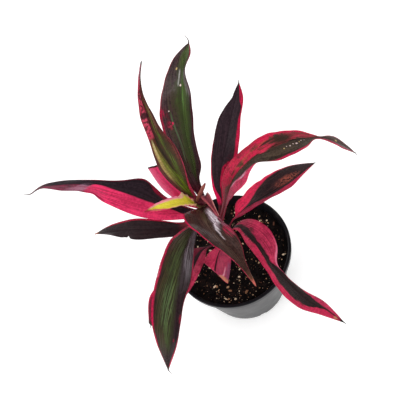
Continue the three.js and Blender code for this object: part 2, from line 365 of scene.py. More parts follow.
NIGHT = tint(33, 20, 25)
DUSK = tint(52, 35, 40)
UMBER = tint(50, 34, 31)
MAROON = tint(70, 16, 32)
CRIMSON = tint(150, 14, 50)
PINK = tint(208, 26, 78)
VIVID = tint(226, 26, 84)
OLIVE = tint(52, 56, 26)
STRAW = tint(196, 168, 108)
TAN = tint(176, 116, 84)
BARK = tint(64, 34, 30)
PALE = tint(222, 196, 190)


@dataclass(frozen=True)
class Lay:
    """What a blade's pattern is read from.

    Share runs from 0 at the blade's foot to 1 at its tip, across from -1 at its right margin to
    1 at its left one, and spread from 0 at its midrib to 1 at its margins. Vein is the same all
    along a side vein. Broad and fine are noise drawn out along the side veins, and grain is fine
    noise on the surface. Depth, blotch and unrest are sums of noise: unrest shifts the edges of
    the marks, and is 0 on average.
    """

    share: Socket
    across: Socket
    spread: Socket
    vein: Socket
    broad: Socket
    fine: Socket
    grain: Socket
    depth: Socket
    blotch: Socket
    unrest: Socket


class Look(Enum):
    """How a mark lies on a blade."""

    WASH = "an even wash"
    STREAKS = "broken into streaks along the veins"
    FLECKS = "broken into small flecks"
    BLOTCHES = "broken into uneven blotches"


@dataclass(frozen=True)
class Mark:
    """A mark of another colour on a blade."""

    colour: Colour
    strength: float = 1.0
    look: Look = Look.WASH
    deep: Colour | None = None

    deep_from: float = 0.38
    deep_to: float = 0.62
    streaks_from: float = 0.44
    streaks_to: float = 0.58

    def inside(self, board: Board, lay: Lay) -> Socket | float:
        """Gives 1 where the mark lies: all over the blade, unless a kind of mark says less."""
        return 1.0

    def paint(self, board: Board, lay: Lay, colour: Socket) -> Socket:
        """Lays the mark over the blade's colour.

        Args:
            board: the blade's material.
            lay: what its pattern is read from.
            colour: the colour under the mark.

        Returns:
            The colour with the mark.
        """
        shown = self.inside(board, lay)
        broken = {Look.STREAKS: lay.fine, Look.FLECKS: lay.grain, Look.BLOTCHES: lay.blotch}
        if self.look in broken:
            shown = board.times(shown, board.step(broken[self.look], self.streaks_from, self.streaks_to))
        own = self.colour
        if self.deep is not None:
            own = board.mix(board.step(lay.depth, self.deep_from, self.deep_to), self.colour, self.deep)
        return board.mix(board.times(shown, self.strength), colour, own)


@dataclass(frozen=True)
class Band(Mark):
    """A strip that runs along a blade, between two lines or out to a margin.

    Right and left are the lines that bound it. Where one is left out, the strip goes on to that
    margin. Ragged is how far its edges are shifted, and soft how wide they are.
    """

    right: Line | None = None
    left: Line | None = None
    begin: float = 0.0
    end: float = 1.0
    fade: float = 0.05
    soft: float = 0.05
    ragged: float = 0.12

    def inside(self, board: Board, lay: Lay) -> Socket | float:
        """Gives 1 inside the strip and 0 outside it.

        Args:
            board: the blade's material.
            lay: what its pattern is read from.

        Returns:
            The share that the strip covers.
        """
        place = board.math("MULTIPLY_ADD", lay.unrest, self.ragged, lay.across)
        shown = 1.0
        if self.right is not None:
            gap = board.minus(place, board.line(lay.share, self.right))
            shown = board.step(gap, -self.soft, self.soft)
        if self.left is not None:
            gap = board.minus(board.line(lay.share, self.left), place)
            shown = board.times(shown, board.step(gap, -self.soft, self.soft))
        for edge, fade in ((self.begin, self.fade), (self.end, -self.fade)):
            if 0 < edge < 1:
                shown = board.times(shown, board.step(lay.share, edge - fade, edge + fade))
        return shown


@dataclass(frozen=True)
class Patch(Mark):
    """An oval patch: its middle and its half sizes, all as parts of the blade."""

    share: float = 0.5
    across: float = 0.0
    length: float = 0.1
    width: float = 0.1
    core: float = 0.35

    def inside(self, board: Board, lay: Lay) -> Socket:
        """Gives 1 in the patch's core and 0 outside it.

        Args:
            board: the blade's material.
            lay: what its pattern is read from.

        Returns:
            The share that the patch covers.
        """
        far = board.math("DIVIDE", board.minus(lay.share, self.share), self.length)
        wide = board.math("DIVIDE", board.minus(lay.across, self.across), self.width)
        squares = board.math("MULTIPLY_ADD", far, far, board.times(wide, wide))
        return board.step(squares, 1.0, self.core)


@dataclass(frozen=True)
class LeafFinish:
    """The colours of one blade, read along its own map: its ground and the marks laid over it.

    The fields down to speckle differ from leaf to leaf. Those below are alike on all: scales of
    the noise, shares of each noise in a sum, and edges where a tone begins and is full.
    """

    marks: tuple[Band | Patch, ...]
    dark: Colour = NIGHT
    shade: Colour = DUSK
    rib: Colour = NIGHT
    rib_strength: float = 0.5
    rib_width: float = 0.07
    foot: Colour = tint(86, 20, 38)
    foot_reach: float = 0.13
    tip: Colour = BARK
    dry_end: float = 0.02
    underside: Colour = tint(112, 40, 62)
    rough: float = 0.42
    specular: float = 0.12
    relief: float = 0.3
    seed: float = 0.0
    speckle: float = 0.34

    vein_sweep: float = 1.2
    vein_stretch: float = 0.3
    side_gap: float = 3.0
    broad_scale: float = 4.0
    fine_scale: float = 15.0
    cloud_scale: float = 120.0
    grain_scale: float = 620.0
    noise_detail: float = 3.0
    fine_rough: float = 0.65
    depth_shares: Place = (0.5, 0.3, 0.2)
    blotch_shares: Pair = (0.5, 0.5)
    unrest_shares: Place = (0.7, 0.6, 0.7)
    mottle_shares: Pair = (0.6, 0.4)
    mottle_edges: Pair = (0.4, 0.62)
    broad_edges: Pair = (0.45, 0.65)
    broad_strength: float = 0.45
    rib_core: float = 0.01
    speckle_edges: Pair = (0.48, 0.72)
    dry_edges: Pair = (1.8, 0.7)
    foot_core: float = 0.25
    foot_strength: float = 0.9
    ridges: float = 230.0
    ridge_share: float = 0.2
    rough_spread: float = 0.2
    upper_bump: float = 0.5
    lower_bump: float = 0.6
    lower_rough: float = 0.5
    lower_share: float = 0.4

    def lay(self, board: Board) -> Lay:
        """Reads the blade's own map and draws out noise along its veins.

        Args:
            board: the blade's material.

        Returns:
            What the pattern is read from.
        """
        share, flat = board.mapped(BLADE_MAP)
        across = board.math("MULTIPLY_ADD", flat, 2.0, -1.0)
        spread = board.math("ABSOLUTE", across)
        vein = board.math("MULTIPLY_ADD", spread, -self.vein_sweep, share)
        lane = board.math("MULTIPLY_ADD", board.math("SIGN", across), self.side_gap, self.seed)
        flow = board.vector(vein, board.times(share, self.vein_stretch), lane)
        place = board.object_place()
        broad = board.noise(flow, self.broad_scale)
        fine = board.noise(flow, self.fine_scale, self.noise_detail, self.fine_rough)
        cloud = board.noise(place, self.cloud_scale, self.noise_detail)
        grain = board.noise(place, self.grain_scale)
        unrest = board.sum(*zip((broad, fine, cloud), self.unrest_shares))
        return Lay(
            share=share,
            across=across,
            spread=spread,
            vein=vein,
            broad=broad,
            fine=fine,
            grain=grain,
            depth=board.sum(*zip((fine, cloud, grain), self.depth_shares)),
            blotch=board.sum(*zip((cloud, fine), self.blotch_shares)),
            unrest=board.minus(unrest, sum(self.unrest_shares) / 2),
        )

    def pattern(self, board: Board, lay: Lay) -> Socket:
        """Paints the blade's ground and its marks.

        Args:
            board: the blade's material.
            lay: what its pattern is read from.

        Returns:
            The blade's colour.
        """
        mottle = board.sum(*zip((lay.fine, lay.grain), self.mottle_shares))
        colour = board.mix(board.step(mottle, *self.mottle_edges), self.dark, self.shade)
        clouded = board.step(lay.broad, *self.broad_edges, self.broad_strength)
        colour = board.mix(clouded, colour, self.dark)
        rib = board.step(lay.spread, self.rib_width, self.rib_core, self.rib_strength)
        colour = board.mix(rib, colour, self.rib)
        for mark in self.marks:
            colour = mark.paint(board, lay, colour)
        specks = board.step(lay.grain, *self.speckle_edges, self.speckle)
        colour = board.mix(specks, colour, self.dark)
        dry = board.step(lay.share, *(1 - edge * self.dry_end for edge in self.dry_edges))
        colour = board.mix(dry, colour, self.tip)
        foot = board.step(lay.share, self.foot_reach, self.foot_core * self.foot_reach, self.foot_strength)
        return board.mix(foot, colour, self.foot)

    def face(self, name: str, under: bool) -> Material:
        """Makes the finish of one face: glossy above, and duller on the underside.

        Args:
            name: the material's name.
            under: whether it is the underside.

        Returns:
            The material.
        """
        board = Board(name)
        lay = self.lay(board)
        colour = self.pattern(board, lay)
        rough = board.about(lay.fine, self.rough, self.rough_spread)
        if under:
            colour = board.mix(self.lower_share, colour, self.underside)
            rough = self.lower_rough
        board.set(Base_Color=colour, Roughness=rough, Specular_IOR_Level=self.specular)
        ridge = board.math("SINE", board.times(lay.vein, self.ridges))
        height = board.math("MULTIPLY_ADD", ridge, self.ridge_share, lay.fine)
        board.bump(height, self.lower_bump if under else self.upper_bump, self.relief)
        return board.material


@dataclass(frozen=True)
class CaneLine:
    """The cane's line and girth, which every leaf's foot is placed by."""

    foot: Place = (0.0, 2.0, 44.0)
    top: Place = (-4.0, 4.0, 186.0)
    foot_radius: float = 4.6
    top_radius: float = 3.8
    bare_from: float = 78.0
    scar_spacing: float = 5.5
    scar_relief: float = 0.35

    def axis_at(self, height: float) -> Vector:
        """Gives the cane's middle at a height: upright in the soil, and leaning above it.

        Args:
            height: the height, in millimetres.

        Returns:
            The place there, in millimetres.
        """
        share = min(max((height - self.bare_from) / (self.top[2] - self.bare_from), 0.0), 1.0)
        x, y = (blend(self.foot[k], self.top[k], share) for k in range(2))
        return Vector((x, y, height))

    def radius_at(self, height: float) -> float:
        """Gives the cane's radius at a height, with its ring scars above the soil.

        Args:
            height: the height, in millimetres.

        Returns:
            The radius there, in millimetres.
        """
        share = (height - self.foot[2]) / (self.top[2] - self.foot[2])
        ring = abs(math.sin(math.pi * height / self.scar_spacing))
        scar = self.scar_relief * ring if height > self.bare_from else 0.0
        return blend(self.foot_radius, self.top_radius, share) - scar


CANE = CaneLine()


@dataclass(frozen=True)
class Station:
    """A blade's place, own axes and sizes at one share of its length."""

    point: Vector
    forward: Vector
    left: Vector
    up: Vector
    left_half: float
    right_half: float
    fold: float


@dataclass(frozen=True)
class Dent:
    """A nick or hollow in a margin, or a bulge where its depth is below 0.

    Side is 1 for the left margin and -1 for the right one. Depth is a share of the half width
    there, and reach a share of the blade's length.
    """

    share: float
    side: int
    depth: float
    reach: float

    def kept(self, share: float, side: int) -> float:
        """Gives the share of the half width that the dent leaves."""
        near = math.exp(-(((share - self.share) / self.reach) ** 2))
        return 1 - self.depth * near if side == self.side else 1.0


@dataclass(frozen=True)
class LeafForm:
    """The form of one blade, given at a few places from its foot on the cane to its tip.

    Left, right, roll and fold have one value for the foot and one for each place of the midrib.
    Roll and fold hold their last value on to the tip. Left and right are seen from the cane,
    looking out along the blade. Wave has the height, count and phase of the margins' waves. The
    ruffle is a finer wave, the frill a frayed foot, and the lags turn the two margins apart.
    """

    bearing: float
    height: float
    midrib: tuple[Place, ...]
    left: tuple[float, ...]
    right: tuple[float, ...]
    wave: Place
    roll: tuple[float, ...] = (0.0,)
    fold: tuple[float, ...] = (25.0, 20.0, 15.0, 12.0)
    slant: float = 0.0
    thread: float = 3.0
    curl: Place = (0.0, 0.0, -1.0)
    frill: float = 0.0
    dents: tuple[Dent, ...] = ()

    foot_offset: float = 1.8
    margin_droop: float = 0.1
    groove: float = 0.3
    groove_width: float = 1.1
    thread_half: float = 0.12
    turn_step: float = 0.01
    wave_lag: float = 130.0
    ruffle: float = 0.25
    ruffle_finer: float = 3.1
    ruffle_more: float = 2.0
    ruffle_phase: float = 1.7
    ruffle_lag: float = 75.0
    frill_count: float = 11.0
    frill_lag: float = 60.0
    frill_end: float = 0.6

    def foot_place(self) -> Vector:
        """Gives the foot's place, just off the cane's skin, in millimetres."""
        reach = CANE.radius_at(self.height) + self.foot_offset
        return CANE.axis_at(self.height) + reach * outward(self.bearing)

    def midrib_point(self, share: float) -> Vector:
        """Gives the midrib's place at a share of the blade's length."""
        places = [self.foot_place(), *self.midrib]
        return Vector([along([place[k] for place in places], share) for k in range(3)])

    def angle(self, angles: tuple[float, ...], share: float) -> float:
        """Reads roll or fold, in radians, with its last value held on to the tip."""
        held = angles[-1:] * (len(self.midrib) + 1 - len(angles))
        return math.radians(along(angles + held, share))

    def half_width(self, share: float, side: int) -> float:
        """Gives the blade's half width on one side, with its dents.

        Args:
            share: the place along the blade.
            side: 1 for its left half and -1 for its right one.

        Returns:
            The half width, in millimetres.
        """
        half = along(self.left if side > 0 else self.right, share)
        return half * math.prod(dent.kept(share, side) for dent in self.dents)

    def station(self, share: float) -> Station:
        """Gives the blade's own axes and sizes.

        Args:
            share: the place along the blade, from 0 at its foot to 1 at its tip.

        Returns:
            The station there.
        """
        ahead = self.midrib_point(min(share + self.turn_step, 1.0))
        behind = self.midrib_point(max(share - self.turn_step, 0.0))
        forward = (ahead - behind).normalized()
        foot = self.foot_place()
        tip = self.midrib[-1]
        left = Vector((foot[1] - tip[1], tip[0] - foot[0], 0.0))
        left = (left - forward * left.dot(forward)).normalized()
        left.rotate(Matrix.Rotation(self.angle(self.roll, share), 3, forward))
        return Station(
            point=self.midrib_point(share),
            forward=forward,
            left=left,
            up=forward.cross(left),
            left_half=self.half_width(share, 1),
            right_half=self.half_width(share, -1),
            fold=self.angle(self.fold, share),
        )

    def blade_point(self, here: Station, share: float, across: float) -> Vector:
        """Gives a place in the middle of the blade's thickness.

        Args:
            here: the blade's station at that share.
            share: the place along the blade.
            across: from -1 at the right margin to 1 at the left one.

        Returns:
            The place, in millimetres.
        """
        half = here.left_half if across > 0 else here.right_half
        spread = abs(across)
        side = (across > 0) - (across < 0)
        height, count, phase = self.wave
        finer = self.ruffle_finer * count + self.ruffle_more
        swell = math.sin(math.pi * min(1.0, share))
        wave = height * swell * swing(count * share, phase + self.wave_lag * side)
        lag = self.ruffle_phase * phase + self.ruffle_lag * side
        ruffle = self.ruffle * swell * swing(finer * share, lag)
        frill = self.frill * swing(self.frill_count * share, self.frill_lag * side)
        lift = (
            half * spread * math.sin(here.fold)
            - self.margin_droop * half * spread ** 2
            + wave * spread ** 2
            + (ruffle + frill * ease(share, self.frill_end, 0.0)) * spread ** 3
            - self.groove * math.exp(-((across * half / self.groove_width) ** 2))
        )
        return here.point + here.left * (half * across * math.cos(here.fold)) + here.up * lift

    def thread_point(self, beyond: float, across: float) -> Vector:
        """Gives a place on the thread-like end past the tip.

        Args:
            beyond: from 0 at the tip to 1 at the thread's end.
            across: from -1 at its right side to 1 at its left one.

        Returns:
            The place, in millimetres.
        """
        end = self.station(1.0)
        reach = self.thread * beyond
        middle = end.point + end.forward * reach + Vector(self.curl) * (reach * beyond)
        half = blend(end.left_half, self.thread_half, beyond)
        return middle + end.left * (half * across)


def added(name: str, data: bpy.types.ID) -> Piece:
    """Adds an object to the scene.

    Args:
        name: the object's name.
        data: its mesh, light or camera.

    Returns:
        The object.
    """
    item = bpy.data.objects.new(name, data)
    bpy.context.scene.collection.objects.link(item)
    return item


def baked(name: str, mesh: bmesh.types.BMesh) -> bpy.types.Mesh:
    """Turns a bmesh, which is used up, into an object's mesh.

    Args:
        name: the mesh's name.
        mesh: the bmesh.

    Returns:
        The mesh.
    """
    data = bpy.data.meshes.new(name)
    mesh.to_mesh(data)
    mesh.free()
    return data


def finish_piece(
    name: str,
    mesh: bmesh.types.BMesh,
    finishes: tuple[Material, ...],
    slot: str,
    *nodes: str,
    sharp: float = 50.0,
) -> Piece:
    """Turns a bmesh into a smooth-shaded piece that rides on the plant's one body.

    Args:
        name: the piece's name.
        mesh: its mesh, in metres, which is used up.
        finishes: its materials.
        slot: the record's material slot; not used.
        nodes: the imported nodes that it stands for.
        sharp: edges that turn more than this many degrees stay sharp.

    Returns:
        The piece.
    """
    data = baked(name, mesh)
    data.shade_smooth()
    data.set_sharp_from_angle(angle=math.radians(sharp))
    for finish in finishes:
        data.materials.append(finish)
    piece = added(name, data)
    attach(piece, BODY)
    if nodes:
        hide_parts(*nodes)
    return piece


def bend_grid(mesh: bmesh.types.BMesh, columns: int, rows: int, shape: Shape) -> None:
    """Adds a flat grid to a mesh and bends it.

    Args:
        mesh: the mesh.
        columns, rows: how many faces the grid has along and across.
        shape: takes a place on the grid, from -1 to 1 both ways, and gives where it goes, in
            millimetres, its place on the flat map and its share of the thickness.
    """
    uv_maps = mesh.loops.layers.uv
    flat = uv_maps.get(BLADE_MAP) or uv_maps.new(BLADE_MAP)
    thickness = mesh.verts.layers.deform.verify()
    grid = bmesh.ops.create_grid(mesh, x_segments=columns, y_segments=rows, size=1.0)
    for vert in grid["verts"]:
        place, shown, share = shape(vert.co.x, vert.co.y)
        vert.co = place * MM
        vert[thickness][0] = share
        for loop in vert.link_loops:
            loop[flat].uv = shown


def finish_blade(
    node: str, mesh: bmesh.types.BMesh, finish: LeafFinish, slot: str, wall: float, offset: float
) -> Piece:
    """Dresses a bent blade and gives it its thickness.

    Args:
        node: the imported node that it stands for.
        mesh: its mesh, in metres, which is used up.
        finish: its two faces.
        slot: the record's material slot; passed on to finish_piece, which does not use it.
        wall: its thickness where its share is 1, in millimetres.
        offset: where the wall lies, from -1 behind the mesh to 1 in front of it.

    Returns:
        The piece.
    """
    faces = (finish.face(f"{node}_upper", False), finish.face(f"{node}_lower", True))
    piece = finish_piece(node.replace("leaf_", "blade_"), mesh, faces, slot, node)
    piece.vertex_groups.new(name=THICKNESS_GROUP)
    modifier = piece.modifiers.new("wall", "SOLIDIFY")
    modifier.thickness = wall * MM
    modifier.offset = offset
    modifier.vertex_group = THICKNESS_GROUP
    modifier.material_offset = 1
    return piece


@dataclass(frozen=True)
class Sheath:
    """A leaf's foot, which clasps the cane: highest and thickest below the blade.

    Wrap is how far it reaches round the cane each way, in degrees. Lip is how far its top lies
    above the leaf's foot, and lip_drop and hem how far its two ends lie below and above that.
    """

    length: float = 11.0
    wrap: float = 118.0
    around_steps: int = 28
    rise_steps: int = 12
    lip: float = 1.6
    lip_drop: float = 6.5
    lip_curve: float = 1.4
    hem: float = 1.5
    gap: float = 0.5
    flare: float = 0.75
    keel: float = 0.5
    keel_width: float = 0.2
    thin: float = 0.3
    thick: float = 0.55
    shown: Pair = (-0.2, -0.05)

    def add(self, mesh: bmesh.types.BMesh, bearing: float, height: float) -> None:
        """Wraps a grid round the cane.

        Args:
            mesh: the leaf's mesh.
            bearing: the bearing of the leaf's foot.
            height: the height of the leaf's foot.
        """

        def shape(around: float, level: float) -> Bent:
            """Bends one place of the grid.

            Args:
                around: from -1 to 1 round the cane.
                level: from -1 at the hem to 1 at the lip.

            Returns:
                The place, its place on the flat map and its share of the thickness.
            """
            rise = (level + 1) / 2
            near = 1 - abs(around)
            top = height + self.lip - self.lip_drop * abs(around) ** self.lip_curve
            foot = height - self.length + self.hem * around ** 2
            here = blend(foot, top, rise)
            keel = self.keel * rise ** 3 * math.exp(-((around / self.keel_width) ** 2))
            reach = CANE.radius_at(here) + self.gap + self.flare * rise * near + keel
            place = CANE.axis_at(here) + reach * outward(bearing + around * self.wrap)
            shown = (blend(*self.shown, rise), (around + 1) / 2)
            return place, shown, blend(self.thin, self.thick, near)

        bend_grid(mesh, self.around_steps, self.rise_steps, shape)


@dataclass(frozen=True)
class Leaf:
    """One leaf: its blade, its stalk and the sheath that clasps the cane.

    Blade and margin are shares of the stalk's thickness, and the stalk is a share of the length.
    """

    name: str
    slot: str
    form: LeafForm
    finish: LeafFinish
    sheath: Sheath = Sheath()

    along_steps: int = 96
    across_steps: int = 22
    thread_steps: int = 6
    thread_map: float = 0.04
    thread_share: float = 0.4
    stalk_thickness: float = 1.7
    stalk_taper: float = 0.3
    stalk_share: float = 0.14
    blade_share: float = 0.47
    margin_share: float = 0.26
    margin_from: float = 0.55

    def build(self) -> Pieces:
        """Builds the leaf and dresses it.

        Returns:
            Its one piece.
        """
        mesh = bmesh.new()
        self.add_blade(mesh)
        self.sheath.add(mesh, self.form.bearing, self.form.height)
        return [finish_blade(self.name, mesh, self.finish, self.slot, self.stalk_thickness, 0.0)]

    def add_blade(self, mesh: bmesh.types.BMesh) -> None:
        """Bends a grid into the blade and its thread-like end.

        Args:
            mesh: the leaf's mesh.
        """
        form = self.form
        threads = 0 if form.slant else self.thread_steps
        rows = self.along_steps + threads
        stations: dict[float, Station] = {}

        def shape(place: float, across: float) -> Bent:
            """Bends one place of the grid.

            Args:
                place: from -1 at the foot to 1 at the thread's end.
                across: from -1 at the right margin to 1 at the left one.

            Returns:
                The place, its place on the flat map and its share of the thickness.
            """
            row = round((place + 1) / 2 * rows)
            share = min(1.0, row / self.along_steps)
            beyond = max(0, row - self.along_steps) / max(1, threads)
            shown = (share + self.thread_map * beyond, (across + 1) / 2)
            if beyond > 0:
                thin = blend(1.0, self.thread_share, beyond)
                return form.thread_point(beyond, across), shown, thin * self.thickness_at(share, across)
            share *= 1 - abs(form.slant) + form.slant * across
            if share not in stations:
                stations[share] = form.station(share)
            point = form.blade_point(stations[share], share, across)
            return point, shown, self.thickness_at(share, across)

        bend_grid(mesh, rows, self.across_steps, shape)

    def thickness_at(self, share: float, across: float) -> float:
        """Gives the blade's thickness as a share of the stalk's: thin at the margins.

        Args:
            share: the place along the blade.
            across: from -1 at the right margin to 1 at the left one.

        Returns:
            The share.
        """
        edge = ease(abs(across), self.margin_from, 1.0)
        blade = blend(self.blade_share, self.margin_share, edge)
        return blend(1.0 - self.stalk_taper * edge, blade, ease(share, 0.0, self.stalk_share))


def spun(profile: Points, steps: int) -> bmesh.types.BMesh:
    """Turns a profile of radius and height, in millimetres, round the +Z axis.

    Args:
        profile: its points, one after another.
        steps: how many steps the turn has.

    Returns:
        The closed, turned mesh, in metres.
    """
    mesh = bmesh.new()
    verts = [mesh.verts.new((radius * MM, 0.0, height * MM)) for radius, height in profile]
    edges = [mesh.edges.new(pair) for pair in zip(verts, verts[1:])]
    turn = {"cent": (0, 0, 0), "axis": (0, 0, 1), "angle": math.tau, "steps": steps}
    bmesh.ops.spin(mesh, geom=[*verts, *edges], use_merge=True, **turn)
    bmesh.ops.remove_doubles(mesh, verts=mesh.verts, dist=WELD * MM)
    bmesh.ops.recalc_face_normals(mesh, faces=mesh.faces)
    return mesh


@dataclass(frozen=True)
class PotFinish:
    """Satin black moulded plastic, a little dusty near the soil.

    Edges and heights are where the dust begins and is full, the latter in millimetres.
    """

    black: Colour = tint(22, 21, 25)
    dust: Colour = tint(84, 76, 72)
    dust_edges: Pair = (0.5, 0.8)
    dust_heights: Pair = (70.0, 86.0)
    dust_strength: float = 0.25
    rough: float = 0.36
    rough_spread: float = 0.2
    specular: float = 0.17
    grain_scale: float = 900.0
    grain_bump: float = 0.12
    grain_depth: float = 0.15
    smear_scale: float = 60.0
    smear_detail: float = 4.0
    smear_rough: float = 0.6

    def make(self) -> Material:
        """Makes the plastic.

        Returns:
            The material.
        """
        board = Board("pot_plastic")
        place = board.object_place()
        low, high = (height * MM for height in self.dust_heights)
        near_soil = board.step(board.split(place)[2], low, high, self.dust_strength)
        smears = board.noise(place, self.smear_scale, self.smear_detail, self.smear_rough)
        dusty = board.times(board.step(smears, *self.dust_edges), near_soil)
        board.set(
            Base_Color=board.mix(dusty, self.black, self.dust),
            Roughness=board.about(smears, self.rough, self.rough_spread),
            Specular_IOR_Level=self.specular,
        )
        board.bump(board.noise(place, self.grain_scale), self.grain_bump, self.grain_depth)
        return board.material


@dataclass(frozen=True)
class Pot:
    """The round tapered nursery pot, with its lip and drain slots."""

    height: float = 88.0
    rim_radius: float = 55.0
    base_radius: float = 40.0
    lip_height: float = 7.0
    lip_thickness: float = 3.0
    lip_overhang: float = 1.2
    lip_draft: float = 0.3
    lip_slope: float = 0.5
    wall: float = 1.6
    floor: float = 3.0
    corner: float = 0.8
    drain_count: int = 6
    drain_height: float = 4.0
    drain_depth: float = 6.0
    drain_steps: int = 4
    steps: int = 180
    sharp: float = 40.0
    edge_round: float = 0.4
    edge_segments: int = 2
    edge_angle: float = 28.0
    finish: PotFinish = PotFinish()

    def wall_radius(self, height: float) -> float:
        """Gives the outer radius of the tapered wall at a height."""
        return blend(self.base_radius, self.rim_radius - self.lip_overhang, height / self.height)

    def profile(self) -> Points:
        """Gives the wall's outline, from the middle of the base round to the middle of the floor.

        Returns:
            Its points, as radius and height in millimetres.
        """
        lip_foot = self.height - self.lip_height
        inner = self.rim_radius - self.lip_thickness
        drain = self.base_radius - self.drain_depth
        return (
            (0.0, 0.0),
            (drain, 0.0),
            (self.base_radius - self.corner, 0.0),
            (self.wall_radius(self.corner), self.corner),
            (self.wall_radius(self.drain_height), self.drain_height),
            (self.wall_radius(lip_foot), lip_foot),
            (self.rim_radius - self.lip_draft, lip_foot + self.lip_slope),
            (self.rim_radius, self.height - self.corner),
            (self.rim_radius - self.corner, self.height),
            (inner + self.corner, self.height),
            (inner, self.height - self.corner),
            (self.wall_radius(lip_foot) - self.wall, lip_foot),
            (self.wall_radius(self.drain_height) - self.wall, self.drain_height),
            (self.wall_radius(self.floor) - self.wall, self.floor),
            (drain, self.floor),
            (0.0, self.floor),
        )

    def build(self) -> Pieces:
        """Builds the pot and dresses it.

        Returns:
            Its one piece.
        """
        mesh = spun(self.profile(), self.steps)
        for k in range(self.drain_count):
            self.cut_drain(mesh, math.tau * (k + 0.5) / self.drain_count)
        finishes = (self.finish.make(),)
        piece = finish_piece("nursery_pot", mesh, finishes, "pot_black", "pot", sharp=self.sharp)
        edge = piece.modifiers.new("rounding", "BEVEL")
        edge.width = self.edge_round * MM
        edge.segments = self.edge_segments
        edge.limit_method = "ANGLE"
        edge.angle_limit = math.radians(self.edge_angle)
        return [piece]

    def cut_drain(self, mesh: bmesh.types.BMesh, bearing: float) -> None:
        """Opens one slot through the floor's edge and the foot of the wall.

        Args:
            mesh: the pot's mesh.
            bearing: where the slot lies, in radians.
        """
        cut = [face for face in mesh.faces if self.in_drain(face, bearing)]
        bmesh.ops.delete(mesh, geom=cut, context="FACES")
        bmesh.ops.bridge_loops(mesh, edges=[edge for edge in mesh.edges if edge.is_boundary])
        bmesh.ops.recalc_face_normals(mesh, faces=mesh.faces)

    def in_drain(self, face: bmesh.types.BMFace, bearing: float) -> bool:
        """Tells whether a face lies where a slot opens.

        Args:
            face: the face.
            bearing: where the slot lies, in radians.

        Returns:
            Whether it does.
        """
        half = math.pi * self.drain_steps / self.steps
        low = (self.base_radius - self.drain_depth) * MM
        middle = face.calc_center_median()
        turn = (math.atan2(middle.y, middle.x) - bearing + math.pi) % math.tau - math.pi
        return abs(turn) < half and middle.z < self.drain_height * MM and middle.xy.length > low


@dataclass(frozen=True)
class SoilFinish:
    """Near-black crumbly peat. Edges are where a tone begins and is full."""

    peat: Colour = tint(16, 11, 11)
    brown: Colour = tint(38, 25, 21)
    brown_edges: Pair = (0.45, 0.75)
    fleck: Colour = tint(104, 74, 54)
    fleck_edges: Pair = (0.68, 0.8)
    fleck_strength: float = 0.4
    lump_scale: float = 160.0
    lump_detail: float = 4.0
    crumb_scale: float = 1100.0
    crumb_detail: float = 3.0
    noise_rough: float = 0.6
    rough: float = 0.95
    specular: float = 0.12
    bump: float = 0.8
    depth: float = 0.6

    def make(self, name: str) -> Material:
        """Makes the peat, for the ground or for its loose crumbs.

        Args:
            name: the material's name.

        Returns:
            The material.
        """
        board = Board(name)
        place = board.object_place()
        broad = board.noise(place, self.lump_scale, self.lump_detail, self.noise_rough)
        fine = board.noise(place, self.crumb_scale, self.crumb_detail, self.noise_rough)
        colour = board.mix(board.step(broad, *self.brown_edges), self.peat, self.brown)
        flecks = board.step(fine, *self.fleck_edges, self.fleck_strength)
        colour = board.mix(flecks, colour, self.fleck)
        board.set(Base_Color=colour, Roughness=self.rough, Specular_IOR_Level=self.specular)
        board.bump(fine, self.bump, self.depth)
        return board.material


@dataclass(frozen=True)
class GrainFinish:
    """Perlite and bark chips, each in its own shade of rust, tan or cream.

    Edges are where a tone begins and is full.
    """

    rust: Colour = tint(104, 64, 46)
    tan: Colour = tint(176, 130, 92)
    tan_edges: Pair = (0.1, 0.5)
    cream: Colour = tint(222, 198, 166)
    cream_edges: Pair = (0.45, 0.9)
    mottle_scale: float = 900.0
    mottle_edges: Pair = (0.5, 0.8)
    mottle_strength: float = 0.4
    rough: float = 0.8
    specular: float = 0.25
    bump: float = 0.5
    depth: float = 0.2

    def make(self) -> Material:
        """Makes the grains' finish from each grain's own shade.

        Returns:
            The material.
        """
        board = Board("grain_chips")
        node = board.nodes.new("ShaderNodeAttribute")
        node.attribute_name = SHADE_LAYER
        shade = node.outputs["Fac"]
        colour = board.mix(board.step(shade, *self.tan_edges), self.rust, self.tan)
        colour = board.mix(board.step(shade, *self.cream_edges), colour, self.cream)
        mottle = board.noise(board.object_place(), self.mottle_scale)
        stains = board.step(mottle, *self.mottle_edges, self.mottle_strength)
        colour = board.mix(stains, colour, self.rust)
        board.set(Base_Color=colour, Roughness=self.rough, Specular_IOR_Level=self.specular)
        board.bump(mottle, self.bump, self.depth)
        return board.material


@dataclass(frozen=True)
class Crumbs:
    """Loose crumbs of peat, with the ranges of their half sizes."""

    name: str = "peat_crumbs"
    count: int = 1700
    seed: int = 7
    length: Pair = (0.5, 1.5)
    width: Pair = (0.4, 1.1)
    height: Pair = (0.4, 0.9)

    def size(self, draw: random.Random) -> Place:
        """Draws one crumb's half sizes."""
        return tuple(draw.uniform(*span) for span in (self.length, self.width, self.height))


@dataclass(frozen=True)
class Chips:
    """Perlite grains and bark chips: mostly small, a few broad, some long."""

    name: str = "pale_chips"
    count: int = 640
    seed: int = 19
    least: float = 0.24
    spread: float = 1.0
    rarity: int = 5
    longer: Pair = (1.0, 2.1)
    flatter: Pair = (0.5, 0.9)

    def size(self, draw: random.Random) -> Place:
        """Draws one chip's half sizes."""
        width = self.least + self.spread * draw.random() ** self.rarity
        return (width * draw.uniform(*self.longer), width, width * draw.uniform(*self.flatter))


